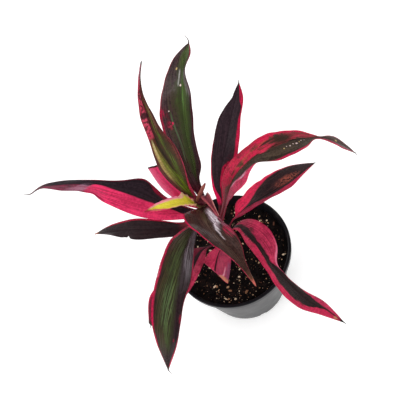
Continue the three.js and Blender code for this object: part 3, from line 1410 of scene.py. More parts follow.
@dataclass(frozen=True)
class Soil:
    """The peat that fills the pot, with its crumbs, perlite and bark chips.

    The swells give how fast each rolls along X and Y, then the first one's shift and the second
    one's share. Lump and crumb sizes are those of the ground's noise, and the layers their seeds.
    """

    top: float = 78.0
    relief: float = 1.1
    fit_gap: float = 0.3
    rings: int = 52
    steps: int = 200
    swell: Place = (0.21, 0.17, 1.3)
    cross_swell: Place = (0.37, 0.31, 0.6)
    octaves: int = 3
    lump_size: float = 7.0
    lump_height: float = 0.7
    lump_layer: float = 3.0
    crumb_size: float = 2.6
    crumb_height: float = 0.9
    crumb_mean: float = 0.4
    crumb_layer: float = 9.0
    wall_clearance: float = 2.0
    cane_clearance: float = 2.0
    piece_detail: int = 1
    piece_rise: float = 0.3
    piece_tilt: float = 0.5
    piece_uneven: Pair = (0.78, 1.12)
    pot: Pot = Pot()
    finish: SoilFinish = SoilFinish()
    crumbs: Crumbs = Crumbs()
    chips: Chips = Chips()
    chip_finish: GrainFinish = GrainFinish()

    def radius(self, height: float) -> float:
        """Gives the soil's radius at a height, just inside the pot's wall."""
        lip_foot = self.pot.height - self.pot.lip_height
        return self.pot.wall_radius(min(height, lip_foot)) - self.pot.wall - self.fit_gap

    def ground(self, x: float, y: float) -> float:
        """Gives the ground's height at a place, lumps and all.

        Args:
            x, y: the place, in millimetres.

        Returns:
            The height, in millimetres.
        """
        rate_x, rate_y, shift = self.swell
        cross_x, cross_y, share = self.cross_swell
        roll = math.sin(x * rate_x + shift) * math.cos(y * rate_y)
        roll += share * math.sin(x * cross_x - y * cross_y)
        lumps = noise.fractal(Vector((x, y, self.lump_layer)) / self.lump_size, 1.0, 2.0, self.octaves)
        crumbs = noise.turbulence(Vector((x, y, self.crumb_layer)) / self.crumb_size, self.octaves, False)
        level = self.top + self.relief * roll / (1 + share)
        return level + self.lump_height * lumps + self.crumb_height * (crumbs - self.crumb_mean)

    def build(self) -> Pieces:
        """Builds the ground, its loose crumbs and its pale chips.

        Returns:
            The three pieces.
        """
        return [
            self.build_ground(),
            self.scatter(self.crumbs, self.finish.make(self.crumbs.name)),
            self.scatter(self.chips, self.chip_finish.make()),
        ]

    def build_ground(self) -> Piece:
        """Builds the filled body of peat with its uneven top.

        Returns:
            The piece.
        """
        foot = self.pot.floor + self.fit_gap
        edge = self.radius(self.top)
        inwards = tuple((edge * k / self.rings, self.top) for k in range(self.rings, -1, -1))
        mesh = spun(((0.0, foot), (self.radius(foot), foot), *inwards), self.steps)
        for vert in mesh.verts:
            if vert.co.z > (self.top - 1) * MM:
                vert.co.z = self.ground(vert.co.x / MM, vert.co.y / MM) * MM
        return finish_piece("peat", mesh, (self.finish.make("peat"),), "potting_soil", "soil")

    def lump(self, draw: random.Random, half: Place) -> bpy.types.Mesh:
        """Makes one small uneven lump on the ground.

        Args:
            draw: the source of every random draw.
            half: its three half sizes, in millimetres.

        Returns:
            Its mesh.
        """
        turn = draw.uniform(0, math.tau)
        reach = self.radius(self.top) - self.wall_clearance
        out = blend(CANE.foot_radius + self.cane_clearance, reach, math.sqrt(draw.random()))
        x, y = out * math.cos(turn), out * math.sin(turn)
        place = (
            Matrix.Translation(Vector((x, y, self.ground(x, y) + self.piece_rise * half[2])) * MM)
            @ Matrix.Rotation(draw.uniform(0, math.tau), 4, "Z")
            @ Matrix.Rotation(draw.uniform(-self.piece_tilt, self.piece_tilt), 4, "X")
            @ Matrix.Diagonal((*(h * MM for h in half), 1.0))
        )
        mesh = bmesh.new()
        bmesh.ops.create_icosphere(mesh, subdivisions=self.piece_detail, radius=1.0)
        for vert in mesh.verts:
            vert.co *= draw.uniform(*self.piece_uneven)
        bmesh.ops.transform(mesh, matrix=place, verts=mesh.verts)
        return baked("lump", mesh)

    def scatter(self, kind: Crumbs | Chips, finish: Material) -> Piece:
        """Scatters small lumps over the ground, each with its own shade.

        Args:
            kind: how many lumps there are, and their sizes.
            finish: their material.

        Returns:
            The piece that holds them all.
        """
        draw = random.Random(kind.seed)
        mesh = bmesh.new()
        shades = mesh.verts.layers.float.new(SHADE_LAYER)
        for _ in range(kind.count):
            lump = self.lump(draw, kind.size(draw))
            shade = draw.random()
            start = len(mesh.verts)
            mesh.from_mesh(lump)
            bpy.data.meshes.remove(lump)
            mesh.verts.ensure_lookup_table()
            for vert in mesh.verts[start:]:
                vert[shades] = shade
        return finish_piece(kind.name, mesh, (finish,), "potting_soil")


@dataclass(frozen=True)
class CaneFinish:
    """Red-brown cane with pale ring scars.

    Edges are where a tone begins and is full, and heights the same in millimetres.
    """

    skin: Colour = tint(84, 40, 36)
    young: Colour = tint(104, 32, 46)
    young_heights: Pair = (95.0, 150.0)
    stain: Colour = tint(48, 26, 24)
    stain_scale: float = 420.0
    stain_detail: float = 3.0
    stain_edges: Pair = (0.5, 0.8)
    stain_strength: float = 0.5
    scar: Colour = tint(156, 116, 88)
    scar_edges: Pair = (0.3, 0.05)
    scar_strength: float = 0.8
    rough: float = 0.6
    specular: float = 0.3
    bump: float = 0.5
    depth: float = 0.4

    def make(self) -> Material:
        """Makes the cane's skin.

        Returns:
            The material.
        """
        board = Board("cane_skin")
        place = board.object_place()
        height = board.split(place)[2]
        spots = board.noise(place, self.stain_scale, self.stain_detail)
        turn = board.times(height, math.pi / (CANE.scar_spacing * MM))
        ring = board.math("ABSOLUTE", board.math("SINE", turn))
        grown = board.step(height, *(level * MM for level in self.young_heights))
        colour = board.mix(grown, self.skin, self.young)
        colour = board.mix(board.step(spots, *self.stain_edges, self.stain_strength), colour, self.stain)
        colour = board.mix(board.step(ring, *self.scar_edges, self.scar_strength), colour, self.scar)
        board.set(Base_Color=colour, Roughness=self.rough, Specular_IOR_Level=self.specular)
        board.bump(spots, self.bump, self.depth)
        return board.material


@dataclass(frozen=True)
class Cane:
    """The plant's one stem, from below the soil to its crown.

    The dome is the cane's top: the radius of its edge as a share, and the heights of its edge and
    its middle.
    """

    steps: int = 36
    rows: int = 260
    dome: Place = (0.6, 0.3, 0.4)
    unevenness: float = 0.035
    uneven_size: float = 4.0
    finish: CaneFinish = CaneFinish()

    def build(self) -> Pieces:
        """Builds the cane and dresses it.

        Returns:
            Its one piece.
        """
        foot, top = CANE.foot[2], CANE.top[2]
        share, edge, middle = self.dome
        heights = [blend(foot, top, k / self.rows) for k in range(self.rows + 1)]
        sides = tuple((CANE.radius_at(height), height) for height in heights)
        dome = ((CANE.top_radius * share, top + edge), (0.0, top + middle))
        mesh = spun(((0.0, foot), *sides, *dome), self.steps)
        for vert in mesh.verts:
            axis = CANE.axis_at(vert.co.z / MM) * MM
            uneven = 1 + self.unevenness * noise.noise(vert.co / (self.uneven_size * MM))
            vert.co.x = vert.co.x * uneven + axis.x
            vert.co.y = vert.co.y * uneven + axis.y
        return [finish_piece("cane_stem", mesh, (self.finish.make(),), "cane_skin", "cane")]


@dataclass(frozen=True)
class Spear:
    """The next leaf, still rolled, in the heart of the crown.

    Core is the radius at the roll's inner edge, as a share, and girth the radius along the roll.
    """

    foot: Place = (-6.6, 3.2, 187.2)
    tip: Place = (4.9, 2.2, 206.3)
    radius: float = 1.5
    core: float = 0.72
    turns: float = 1.35
    around_steps: int = 40
    rise_steps: int = 48
    girth: tuple[float, ...] = (0.75, 1.0, 1.05, 1.0, 0.95, 0.5)
    wall: float = 0.35
    shown_from: float = 0.15
    finish: LeafFinish = LeafFinish(
        marks=(
            Band(tint(196, 116, 112), 0.9, Look.STREAKS, left=(-0.1, 0.0), soft=0.2),
            Band(tint(214, 150, 120), 0.8, right=0.9, soft=0.06),
        ),
        dark=tint(120, 62, 56), shade=tint(164, 92, 84), rib_strength=0.0, underside=tint(150, 80, 78),
        foot=tint(150, 90, 60), tip=tint(140, 60, 66), relief=0.8,
    )

    def build(self) -> Pieces:
        """Rolls a flat grid into the spear and dresses it.

        Returns:
            Its one piece.
        """
        foot = Vector(self.foot)
        line = Vector(self.tip) - foot
        lean = Vector((0, 0, 1)).rotation_difference(line.normalized())

        def shape(x: float, y: float) -> Bent:
            """Bends one place of the grid.

            Args:
                x: from -1 at the roll's inner edge to 1 at its outer one.
                y: from -1 at the foot to 1 at the tip.

            Returns:
                The place, its place on the flat map and its share of the thickness.
            """
            around, share = (x + 1) / 2, (y + 1) / 2
            reach = self.radius * along(self.girth, share) * blend(self.core, 1.0, around)
            place = reach * outward(360 * self.turns * around)
            place.z = share * line.length
            place.rotate(lean)
            return foot + place, (blend(self.shown_from, 1.0, share), around), 1.0

        mesh = bmesh.new()
        bend_grid(mesh, self.around_steps, self.rise_steps, shape)
        return [finish_blade("leaf_spear", mesh, self.finish, "leaf_dark", self.wall, -1.0)]


def spots(*rows: tuple[Colour, float, float, float, float, float]) -> tuple[Patch, ...]:
    """Gives several plain patches.

    Args:
        rows: for each one its colour, strength, share, across, length and width.

    Returns:
        The patches.
    """
    return tuple(
        Patch(colour, strength, share=share, across=across, length=length, width=width)
        for colour, strength, share, across, length, width in rows
    )


# Each leaf's marks, in the order in which one is laid over another. Some pale marks are painted
# highlights, each noted where it stands.
BACK_TALL_MARKS = (
    Band(tint(54, 66, 32), 0.8, right=((0, -0.3), (0.3, -0.45), (0.5, -0.8), (0.8, -0.9), (1, -0.9)),
         left=((0, 0.02), (0.3, 0.12), (0.6, 0.22), (1, 0.2)), soft=0.16, begin=0.14, end=0.97,
         ragged=0.5),
    Band(tint(72, 94, 40), 0.9, Look.STREAKS, right=((0, -0.3), (0.3, -0.4), (0.5, -0.7), (1, -0.7)),
         left=((0, 0), (0.4, 0.1), (1, 0.1)), soft=0.12, begin=0.12, end=0.96, ragged=0.5),
    Band(OLIVE, 0.65, Look.STREAKS, right=(0.12, 0.16), left=(0.6, 0.7), soft=0.14, begin=0.16, end=0.8,
         ragged=0.5),
    Band(tint(84, 110, 74), 0.65, Look.STREAKS, right=((0, 0.3), (0.3, 0.24), (0.5, 0.44), (1, 0.5)),
         left=((0, 0.38), (0.3, 0.31), (0.5, 0.52), (1, 0.6)), soft=0.03, begin=0.26, end=0.5, fade=0.03,
         ragged=0.1, streaks_from=0.36, streaks_to=0.46),
    Band(tint(92, 132, 62), 0.75, Look.STREAKS, right=((0, -0.26), (0.6, -0.3), (1, -0.4)),
         left=(-0.05, -0.03), begin=0.54, end=0.76, soft=0.08),
    Band(tint(92, 112, 60), 0.7, Look.STREAKS, right=-0.8, left=(0.3, 0.4), begin=0.8, end=0.94,
         soft=0.1),
    Band(NIGHT, 0.7, Look.STREAKS, right=-1, left=((0, -0.3), (0.3, -0.4), (1, -0.6)), begin=0.1, end=0.6,
         soft=0.1),
    Band(tint(40, 30, 28), 0.6, Look.STREAKS, right=(-0.1, -0.06), left=(0.1, 0.12), begin=0.14, end=0.8,
         soft=0.06, ragged=0.3),
    # Painted highlights: a pale lilac sheen over the right half near the tip, then a white glint streak
    # beside the midrib. Both stand in for light glancing off the blade.
    Band(tint(150, 132, 146), 0.6, Look.STREAKS, left=((0, -0.5), (0.6, -0.62), (0.7, -0.4), (1, -0.3)),
         begin=0.6, end=0.765, soft=0.1, fade=0.02),
    Band(tint(222, 220, 214), 0.8, Look.STREAKS, right=((0, 0.1), (0.8, 0.12)),
         left=((0, 0.15), (0.8, 0.17)), begin=0.67, end=0.765, soft=0.03, fade=0.02, ragged=0.03,
         streaks_from=0.36),
    Patch(CRIMSON, 0.7, Look.BLOTCHES, MAROON, share=0.465, across=0.82, width=0.34, core=0),
    Patch(PINK, 0.8, Look.BLOTCHES, across=0.9, length=0.04, width=0.14, core=0),
    Patch(VIVID, 0.9, share=0.452, across=0.46, length=0.009, width=0.045),
    Patch(PINK, 0.5, Look.FLECKS, share=0.44, across=0.6, length=0.03, width=0.16, core=0),
    Band(CRIMSON, 0.85, right=((0, 0.92), (0.35, 0.93), (0.45, 0.88), (0.6, 0.95), (1, 0.9)), soft=0.03,
         ragged=0.03, begin=0.28),
    Band(MAROON, 0.7, left=(-0.86, -0.9), soft=0.06, ragged=0.05),
    Band(CRIMSON, 0.8, left=((0, -1), (0.8, -0.96), (0.9, -0.8), (1, -0.7)), soft=0.04, ragged=0.05,
         begin=0.82),
    *spots(
        (PALE, 0.95, 0.52, 0.57, 0.005, 0.035),
        (PALE, 0.95, 0.665, 0.03, 0.009, 0.05),
        (STRAW, 0.95, 0.782, 0.36, 0.011, 0.06),
        (tint(150, 140, 70), 0.7, 0.325, -0.06, 0.004, 0.05),
    ),
)

BACK_GREEN_MARKS = (
    Band(OLIVE, 0.6, right=(-0.8, -0.7), left=((0, 0.66), (0.25, 0.6), (0.4, 0.2), (1, 0.2)), soft=0.12,
         end=0.5, ragged=0.3),
    Band(tint(86, 112, 28), 0.95, Look.STREAKS,
         right=((0, 0), (0.2, 0.1), (0.3, 0.3), (0.5, 0.4), (1, 0.4)), left=0.62, soft=0.1, end=0.46,
         ragged=0.3),
    Band(tint(84, 110, 34), 0.95, Look.STREAKS, right=((0, -0.6), (0.2, -0.46), (1, -0.5)),
         left=((0, -0.1), (0.3, -0.2), (0.6, -0.3), (1, -0.3)), soft=0.08, end=0.72, ragged=0.3),
    Patch(tint(112, 138, 20), 0.9, Look.STREAKS, share=0.14, across=0.12, width=0.42),
    Band(NIGHT, 0.75, Look.STREAKS, right=((0, -0.2), (0.4, -0.2), (1, -0.3)),
         left=((0, 0.02), (0.3, 0.1), (0.4, 0.26), (0.5, 0.1), (1, 0.1)), begin=0.26, end=0.6, soft=0.08),
    Patch(tint(146, 146, 56), 0.85, Look.STREAKS, tint(110, 112, 34), share=0.3, across=0.42, length=0.17,
          width=0.36, core=0.1, streaks_from=0.36),
    Band(STRAW, 0.9, deep=tint(150, 134, 66), right=((0, 0.5), (0.3, 0.5), (0.48, 0.5), (1, 0.6)),
         left=((0, 0.62), (0.3, 0.74), (0.48, 0.84), (1, 0.84)), soft=0.08, begin=0.2, end=0.46,
         ragged=0.25),
    Band(tint(232, 214, 176), 0.8, Look.STREAKS, right=(0.5, 0.62), left=(0.62, 0.8), begin=0.36,
         end=0.465, soft=0.06, fade=0.02),
    Band(tint(120, 92, 50), 0.8, Look.STREAKS, right=(0.4, 0.5), left=(0.62, 0.7), soft=0.1, begin=0.14,
         end=0.3),
    Band(tint(204, 72, 96), 1, deep=tint(168, 40, 66),
         right=((0, 0.2), (0.5, 0.04), (0.62, 0.02), (0.7, 0.12), (0.8, 0.2), (1, 0.4)), soft=0.1,
         begin=0.485, end=0.88, fade=0.015, ragged=0.4),
    Patch(NIGHT, 0.85, share=0.622, across=0.4, length=0.022, width=0.8),
    Patch(UMBER, 0.8, Look.FLECKS, share=0.58, across=0.5, width=0.6),
    Patch(UMBER, 0.8, Look.FLECKS, share=0.74, across=0.5, width=0.6),
    Band(tint(216, 62, 100), 0.95, deep=CRIMSON,
         left=((0, 0.2), (0.08, -0.3), (0.13, -0.7), (0.19, -0.92), (0.3, -0.97), (1, -0.985)), soft=0.03,
         ragged=0.05, end=0.55),
    Band(CRIMSON, 0.9, right=(0.9, 0.93), soft=0.04, ragged=0.04, begin=0.44),
    Band(tint(224, 160, 176), 0.8, Look.STREAKS, right=((0, 0), (0.8, 0.3), (1, -0.2)), soft=0.2,
         begin=0.84, end=0.985),
    Band(tint(170, 150, 96), 0.5, Look.STREAKS, right=-0.7, left=(-0.45, -0.4), soft=0.08, begin=0.54,
         end=0.68),
)

BACK_CUT_MARKS = (
    Band(tint(246, 60, 110), deep=tint(214, 48, 96)),
    Band(tint(226, 110, 142), 0.7, Look.STREAKS, right=((0, 0.9), (0.6, 0.3), (1, 0.1)), soft=0.3,
         begin=0.5),
    Band(tint(220, 120, 150), 0.6, right=(0.8, 0.74), soft=0.16, begin=0.4),
    Band(BARK, 0.9, begin=0.975, fade=0.008, ragged=0.3),
)

LEFT_LONG_MARKS = (
    Patch(tint(150, 44, 76), 0.9, deep=tint(86, 28, 48), share=0.73, across=0.5, length=0.16, width=0.8,
          core=0.6),
    Band(tint(236, 54, 104), deep=tint(186, 32, 76),
         right=((0, 0.5), (0.12, 0.4), (0.2, 0.2), (0.3, 0), (0.4, -0.08), (0.5, -0.26), (0.56, -0.4),
                (0.6, -0.1), (0.64, 0.5), (1, 0.9)), soft=0.04, end=0.615, fade=0.02, ragged=0.14),
    Patch(tint(140, 20, 52), 0.75, Look.STREAKS, share=0.46, across=0.4, length=0.14, width=0.5, core=0),
    Patch(tint(150, 14, 48), 0.8, Look.STREAKS, share=0.24, across=0.4, width=0.3, core=0),
    Patch(tint(160, 62, 88), 0.7, Look.STREAKS, share=0.57, across=0.3, length=0.08, width=0.8, core=0),
    Patch(MAROON, 0.8, Look.STREAKS, share=0.56, across=0.9, length=0.05, width=0.2),
    # Painted highlight: pale lilac streaks where the blade curves over, standing in for its gloss.
    Band(tint(176, 136, 158), 0.75, Look.STREAKS, right=((0, -0.6), (0.6, -0.4), (0.7, 0.5), (1, 1)),
         left=((0, -1), (0.56, -0.3), (0.66, 1), (1, 1)), soft=0.2, begin=0.6, end=0.72, fade=0.03,
         ragged=0.3),
    Band(CRIMSON, 0.9, deep=MAROON,
         left=((0, -1), (0.22, -0.62), (0.3, -0.66), (0.36, -0.92), (1, -0.95)), soft=0.04, ragged=0.05),
    Band(tint(140, 40, 66), 0.8, Look.STREAKS, begin=0.86),
)

LEFT_SHORT_MARKS = (
    Band(tint(172, 16, 56), 0.95, left=((0, -0.5), (0.24, -0.66), (0.34, -0.86), (0.7, -0.84), (1, -0.9)),
         soft=0.04, ragged=0.03, end=0.9),
    Band(MAROON, 0.8, right=((0, 0.5), (0.3, 0.86), (0.5, 0.97), (1, 0.97)), soft=0.06, ragged=0.04),
    Band(tint(128, 52, 62), 0.8, begin=0.1, end=0.25, fade=0.04),
    Band(tint(110, 90, 60), 0.5, Look.STREAKS, begin=0.93, fade=0.02),
    # Painted sheen: pale grey streaks near the tip, standing in for gloss.
    Patch(tint(112, 100, 104), 0.6, Look.STREAKS, share=0.85, across=0.6, length=0.07, width=0.4, core=0),
)

FRONT_LEFT_MARKS = (
    Band(tint(56, 60, 34), 0.6, right=-0.8, left=((0, 0.05), (0.5, 0.1), (0.8, 0.4), (1, 0.4)), soft=0.14,
         begin=0.14, end=0.9, ragged=0.6),
    Band(tint(72, 88, 46), 0.9, Look.STREAKS, right=((0, -0.5), (0.5, -0.74), (1, -0.74)),
         left=((0, -0.1), (0.6, 0), (1, 0.2)), soft=0.12, begin=0.2, end=0.9, ragged=0.5),
    Patch(tint(84, 104, 66), 0.8, Look.STREAKS, share=0.64, across=-0.3, length=0.16, width=0.5, core=0),
    # Painted highlight: grey-lilac gloss streaks over the left half of the blade.
    Band(tint(138, 124, 134), 0.6, Look.STREAKS, right=((0, 0.1), (0.3, 0.16), (0.5, 0.5), (1, 0.6)),
         left=((0, 0.98), (0.26, 0.98), (0.5, 0.8), (1, 0.7)), soft=0.12, begin=0.17, end=0.48, fade=0.06,
         ragged=0.5),
    Band(tint(66, 36, 32), 0.8, Look.STREAKS, right=-0.9, left=((0, -0.4), (0.6, -0.5), (1, 0)), soft=0.1,
         begin=0.14, end=0.95, ragged=0.5),
    Band(tint(104, 112, 66), 0.35, Look.STREAKS, right=(-0.2, -0.18), left=(-0.04, 0), soft=0.04,
         begin=0.42, end=0.78),
    Band(PINK, 0.95, deep=CRIMSON,
         left=((0, -0.3), (0.14, -0.68), (0.24, -0.82), (0.5, -0.89), (1, -0.9)), ragged=0.06),
    Band(CRIMSON, 0.9, deep=PINK,
         right=((0, 0.8), (0.4, 0.95), (0.55, 0.95), (0.68, 0.98), (0.86, 0.92), (0.93, 0.76), (1, 0.4)),
         soft=0.04, ragged=0.06, begin=0.32),
    Patch(CRIMSON, 0.85, Look.STREAKS, share=0.715, across=0.83, length=0.03, width=0.14),
    Patch(CRIMSON, 0.6, share=0.84, across=0.55, length=0.012, width=0.08),
)

UNDER_LEFT_MARKS = (
    Band(tint(186, 52, 84), deep=tint(140, 20, 52), right=((0, 0.3), (0.25, 0.1), (0.5, 0.2), (1, 0.4)),
         soft=0.06, ragged=0.15),
    Band(tint(132, 20, 50), deep=tint(80, 18, 36), left=((0, -0.3), (0.3, -0.3), (1, -0.4)), soft=0.06,
         ragged=0.15),
    Band(PINK, 0.7, left=-0.9, begin=0.5),
)

FRONT_CUT_MARKS = (
    Band(tint(216, 56, 96), deep=tint(176, 34, 72), left=(-0.12, -0.14), soft=0.02, ragged=0.02),
    Band(tint(184, 46, 82), deep=tint(146, 36, 70), right=-0.04, soft=0.02, ragged=0.02),
    Band(tint(130, 66, 96), 0.8, right=(0.8, 0.74), soft=0.12, begin=0.7),
    # Painted highlight: a pale pink glint along the hooked end.
    Band(tint(224, 150, 170), 0.8, right=((0, 0.7), (0.84, 0.6), (0.92, 0.56), (1, 0.2)),
         left=((0, 0.8), (0.84, 0.68), (0.92, 0.66), (1, 0.36)), begin=0.82),
    Band(tint(196, 122, 92), 0.95, right=((0, 1), (0.9, 0.9), (0.95, 0.5), (1, 0.2)), soft=0.1,
         begin=0.94, fade=0.02, ragged=0.3),
)

FRONT_GLOSSY_MARKS = (
    Band(tint(70, 62, 42), 0.8, Look.STREAKS, right=(-0.24, -0.16), left=(0.3, 0.1), soft=0.1, end=0.4),
    Band(tint(104, 84, 72), 0.5, Look.STREAKS, right=((0, -0.1), (0.5, -0.4), (0.8, -0.6), (1, -0.7)),
         left=((0, 0.2), (0.5, 0), (0.8, -0.1), (1, -0.2)), soft=0.1, begin=0.3, end=0.85),
    Band(tint(86, 34, 48), 0.8, left=((0, -0.1), (0.1, -0.6), (0.2, -0.86), (1, -0.9)), soft=0.14,
         end=0.3),
    Band(PINK, 0.95, left=((0, -0.9), (0.1, -0.93), (0.4, -0.95), (0.6, -0.975), (1, -0.94)), soft=0.02,
         ragged=0.02),
    Band(tint(176, 76, 108), 0.9, Look.STREAKS, right=((0, 0.5), (0.3, 0.66), (1, 0.9)), soft=0.1,
         begin=0.12, end=0.6, ragged=0.2),
    # Painted highlights: a lilac sheen, two layers of white glint streaks, and a thin white glint further
    # along. Together they stand in for the blade's gloss.
    Band(tint(178, 150, 164), 0.8, right=((0, 0.26), (0.3, 0.14), (0.5, 0.1), (1, 0.1)),
         left=((0, 0.84), (0.3, 0.74), (0.45, 0.5), (1, 0.4)), soft=0.18, begin=0.19, end=0.45, fade=0.06,
         ragged=0.8),
    Band(tint(246, 236, 242), 0.95, Look.STREAKS, right=((0, 0.62), (0.36, 0.52), (1, 0.5)),
         left=((0, 0.84), (0.36, 0.7), (1, 0.6)), soft=0.06, begin=0.19, end=0.4, ragged=0.8,
         streaks_from=0.34, streaks_to=0.44),
    Band(tint(246, 236, 242), 0.95, Look.STREAKS, right=((0, 0.36), (0.3, 0.26), (0.46, 0.14), (1, 0.1)),
         left=((0, 0.52), (0.3, 0.46), (0.46, 0.34), (1, 0.3)), begin=0.24, end=0.47, ragged=0.6,
         streaks_from=0.4, streaks_to=0.48),
    Band(tint(214, 200, 204), 0.9, Look.STREAKS, right=0.08, left=(0.17, 0.15), soft=0.04, begin=0.45,
         end=0.6, fade=0.02, ragged=0.3, streaks_from=0.38, streaks_to=0.48),
    Patch(PINK, 0.95, Look.STREAKS, CRIMSON, share=0.55, across=0.7, length=0.09, width=0.32),
    Band(CRIMSON, 0.6, right=0.92, begin=0.5, end=0.9),
    Band(TAN, 0.7, Look.STREAKS, begin=0.93),
)

YOUNG_LIME_MARKS = (
    Band(tint(244, 186, 160), 0.95,
         left=((0, -0.4), (0.12, -0.5), (0.24, -0.66), (0.35, -0.6), (0.8, -0.5), (1, -0.2)), soft=0.1,
         ragged=0.25),
    Patch(tint(128, 150, 30), 0.8, Look.STREAKS, share=0.1, length=0.16, width=0.5, core=0),
    Band(tint(246, 130, 160), 0.95, left=((0, -0.74), (0.4, -0.7), (0.8, -0.62), (1, -0.4)), soft=0.1,
         begin=0.34),
    Band(tint(236, 176, 140), 0.95,
         right=((0, 0.5), (0.2, 0.62), (0.35, 0.78), (0.5, 0.93), (0.7, 0.9), (0.85, 0.4), (1, -0.2)),
         soft=0.1, ragged=0.15),
    Band(tint(206, 60, 96), 0.9, right=((0, 1), (0.66, 0.9), (0.8, 0.6), (0.9, 0.1), (1, -0.6)), soft=0.1,
         begin=0.62),
    Band(tint(150, 110, 40), 0.7, Look.STREAKS, begin=0.82, end=0.9, fade=0.03),
    Band(CRIMSON, 0.9, begin=0.9, fade=0.04),
)

YOUNG_ROLLED_MARKS = (
    Band(tint(156, 62, 78), 0.9, deep=tint(92, 34, 46)),
    Patch(tint(112, 84, 60), 0.8, Look.BLOTCHES, share=0.42, across=0.4, length=0.14, width=0.5),
    Band(tint(206, 140, 132), 0.8, right=(0.84, 0.8), soft=0.1),
    Band(tint(196, 92, 96), 0.7, left=(-0.7, -0.6), soft=0.14),
)

RIGHT_DARK_MARKS = (
    Band(tint(236, 28, 90), deep=tint(212, 22, 76),
         right=((0, -0.5), (0.15, -0.1), (0.18, 0.04), (0.22, 0.3), (0.26, 0.6), (0.31, 0.8),
                (0.38, 0.93), (0.5, 0.96), (1, 0.97)), ragged=0.06, begin=0.15, end=0.56, fade=0.015),
    Band(tint(206, 26, 72), deep=tint(156, 12, 46),
         left=((0, 0.2), (0.15, -0.2), (0.22, -0.32), (0.3, -0.14), (0.37, -0.1), (0.43, -0.32),
               (0.5, -0.76), (0.6, -0.72), (0.7, -0.78), (0.78, -0.88), (0.84, -0.6), (0.9, -0.5),
               (1, -0.5)), ragged=0.08, begin=0.15, fade=0.02),
    Patch(MAROON, 0.7, Look.FLECKS, share=0.4, across=-0.6, length=0.12, width=0.5),
    Patch(MAROON, 0.6, Look.STREAKS, share=0.88, across=-0.7, length=0.06, width=0.3),
    Band(MAROON, 0.6, right=0.93, soft=0.06, begin=0.5),
)

RIGHT_LONG_MARKS = (
    Band(tint(214, 26, 72), deep=tint(160, 12, 48),
         right=((0, 0.6), (0.14, 0.42), (0.2, 0.24), (0.3, 0.08), (0.4, 0), (0.48, 0.12), (0.55, 0.5),
                (0.66, 0.72), (0.74, 0.6), (1, 0.8)), ragged=1.6, end=0.78, fade=0.03),
    Band(tint(212, 42, 76), 0.95, Look.BLOTCHES, right=((0, -0.1), (0.45, -0.08), (0.55, 0.06), (1, 0.1)),
         left=((0, 0.7), (0.55, 0.8), (1, 0.7)), soft=0.1, begin=0.36, end=0.75, ragged=0.6),
    Band(tint(56, 40, 26), 0.95, Look.BLOTCHES, right=((0, 0.3), (0.34, 0.12), (0.5, 0.3), (1, 0.4)),
         left=((0, 0.5), (0.34, 0.36), (0.5, 0.8), (0.62, 0.86), (1, 0.8)), soft=0.1, begin=0.28, end=0.7,
         ragged=0.6, streaks_from=0.5),
    Patch(tint(50, 40, 30), 0.95, Look.BLOTCHES, share=0.6, across=0.3, length=0.07, width=0.5, core=0,
          streaks_from=0.36, streaks_to=0.5),
    Band(tint(110, 100, 40), 0.6, Look.STREAKS, right=((0, 0.3), (0.34, 0.2), (0.5, 0.4), (1, 0.5)),
         left=((0, 0.4), (0.34, 0.3), (0.5, 0.6), (1, 0.7)), soft=0.06, begin=0.34, end=0.54, ragged=0.6,
         streaks_from=0.5),
    Band(tint(52, 44, 28), 0.9,
         left=((0, 0.5), (0.14, 0.4), (0.2, 0.22), (0.3, 0.06), (0.4, 0.02), (1, 0)),
         right=((0, 0.3), (0.14, 0.26), (0.2, 0), (0.3, -0.16), (0.4, -0.3), (1, -0.6)), soft=0.04,
         begin=0.13, end=0.45),
    Patch(tint(96, 10, 34), 0.8, Look.BLOTCHES, share=0.28, across=0.6, length=0.18, width=0.5, core=0,
          streaks_from=0.5),
    Patch(tint(226, 48, 84), 0.95, Look.STREAKS, share=0.72, across=0.3, length=0.06, width=0.22),
    Band(tint(220, 58, 102), deep=tint(164, 26, 64),
         left=((0, -0.1), (0.14, 0.12), (0.2, -0.06), (0.25, -0.18), (0.3, -0.34), (0.36, -0.5),
               (0.42, -0.84), (0.46, -1), (1, -1)), soft=0.04, end=0.46),
    # Painted highlight: a pale lilac streak along the fold of the lower lobe.
    Band(tint(206, 176, 196), 0.9, Look.STREAKS,
         right=((0, 0.3), (0.14, 0.1), (0.2, -0.16), (0.25, -0.3), (0.3, -0.44), (0.38, -0.66), (1, -1)),
         left=((0, 0.4), (0.14, 0.24), (0.2, -0.04), (0.25, -0.2), (0.3, -0.34), (0.38, -0.52),
               (1, -0.8)), begin=0.24, end=0.36, fade=0.03, ragged=0.05, streaks_from=0.38,
         streaks_to=0.5),
    Band(PINK, 0.95, deep=CRIMSON,
         left=((0, -1), (0.48, -1), (0.56, -0.9), (0.75, -0.84), (0.82, -0.5), (0.9, -0.7), (1, -0.8)),
         begin=0.5, ragged=0.04),
    Band(tint(84, 30, 40), 0.6, Look.STREAKS, begin=0.77, fade=0.02),
    Band(PINK, 0.8, right=0.9, soft=0.06, begin=0.74),
    *spots(
        (STRAW, 0.8, 0.585, -0.44, 0.004, 0.05),
        (PALE, 0.8, 0.6, -0.36, 0.003, 0.04),
        (PALE, 0.9, 0.616, -0.4, 0.004, 0.05),
        (PALE, 0.9, 0.634, -0.33, 0.003, 0.05),
        (PALE, 1, 0.65, -0.38, 0.006, 0.07),
        (STRAW, 0.9, 0.667, -0.32, 0.003, 0.05),
        (PALE, 0.8, 0.68, -0.24, 0.004, 0.05),
        (PALE, 0.6, 0.694, -0.28, 0.003, 0.04),
        (STRAW, 0.9, 0.885, 0.2, 0.008, 0.14),
    ),
)

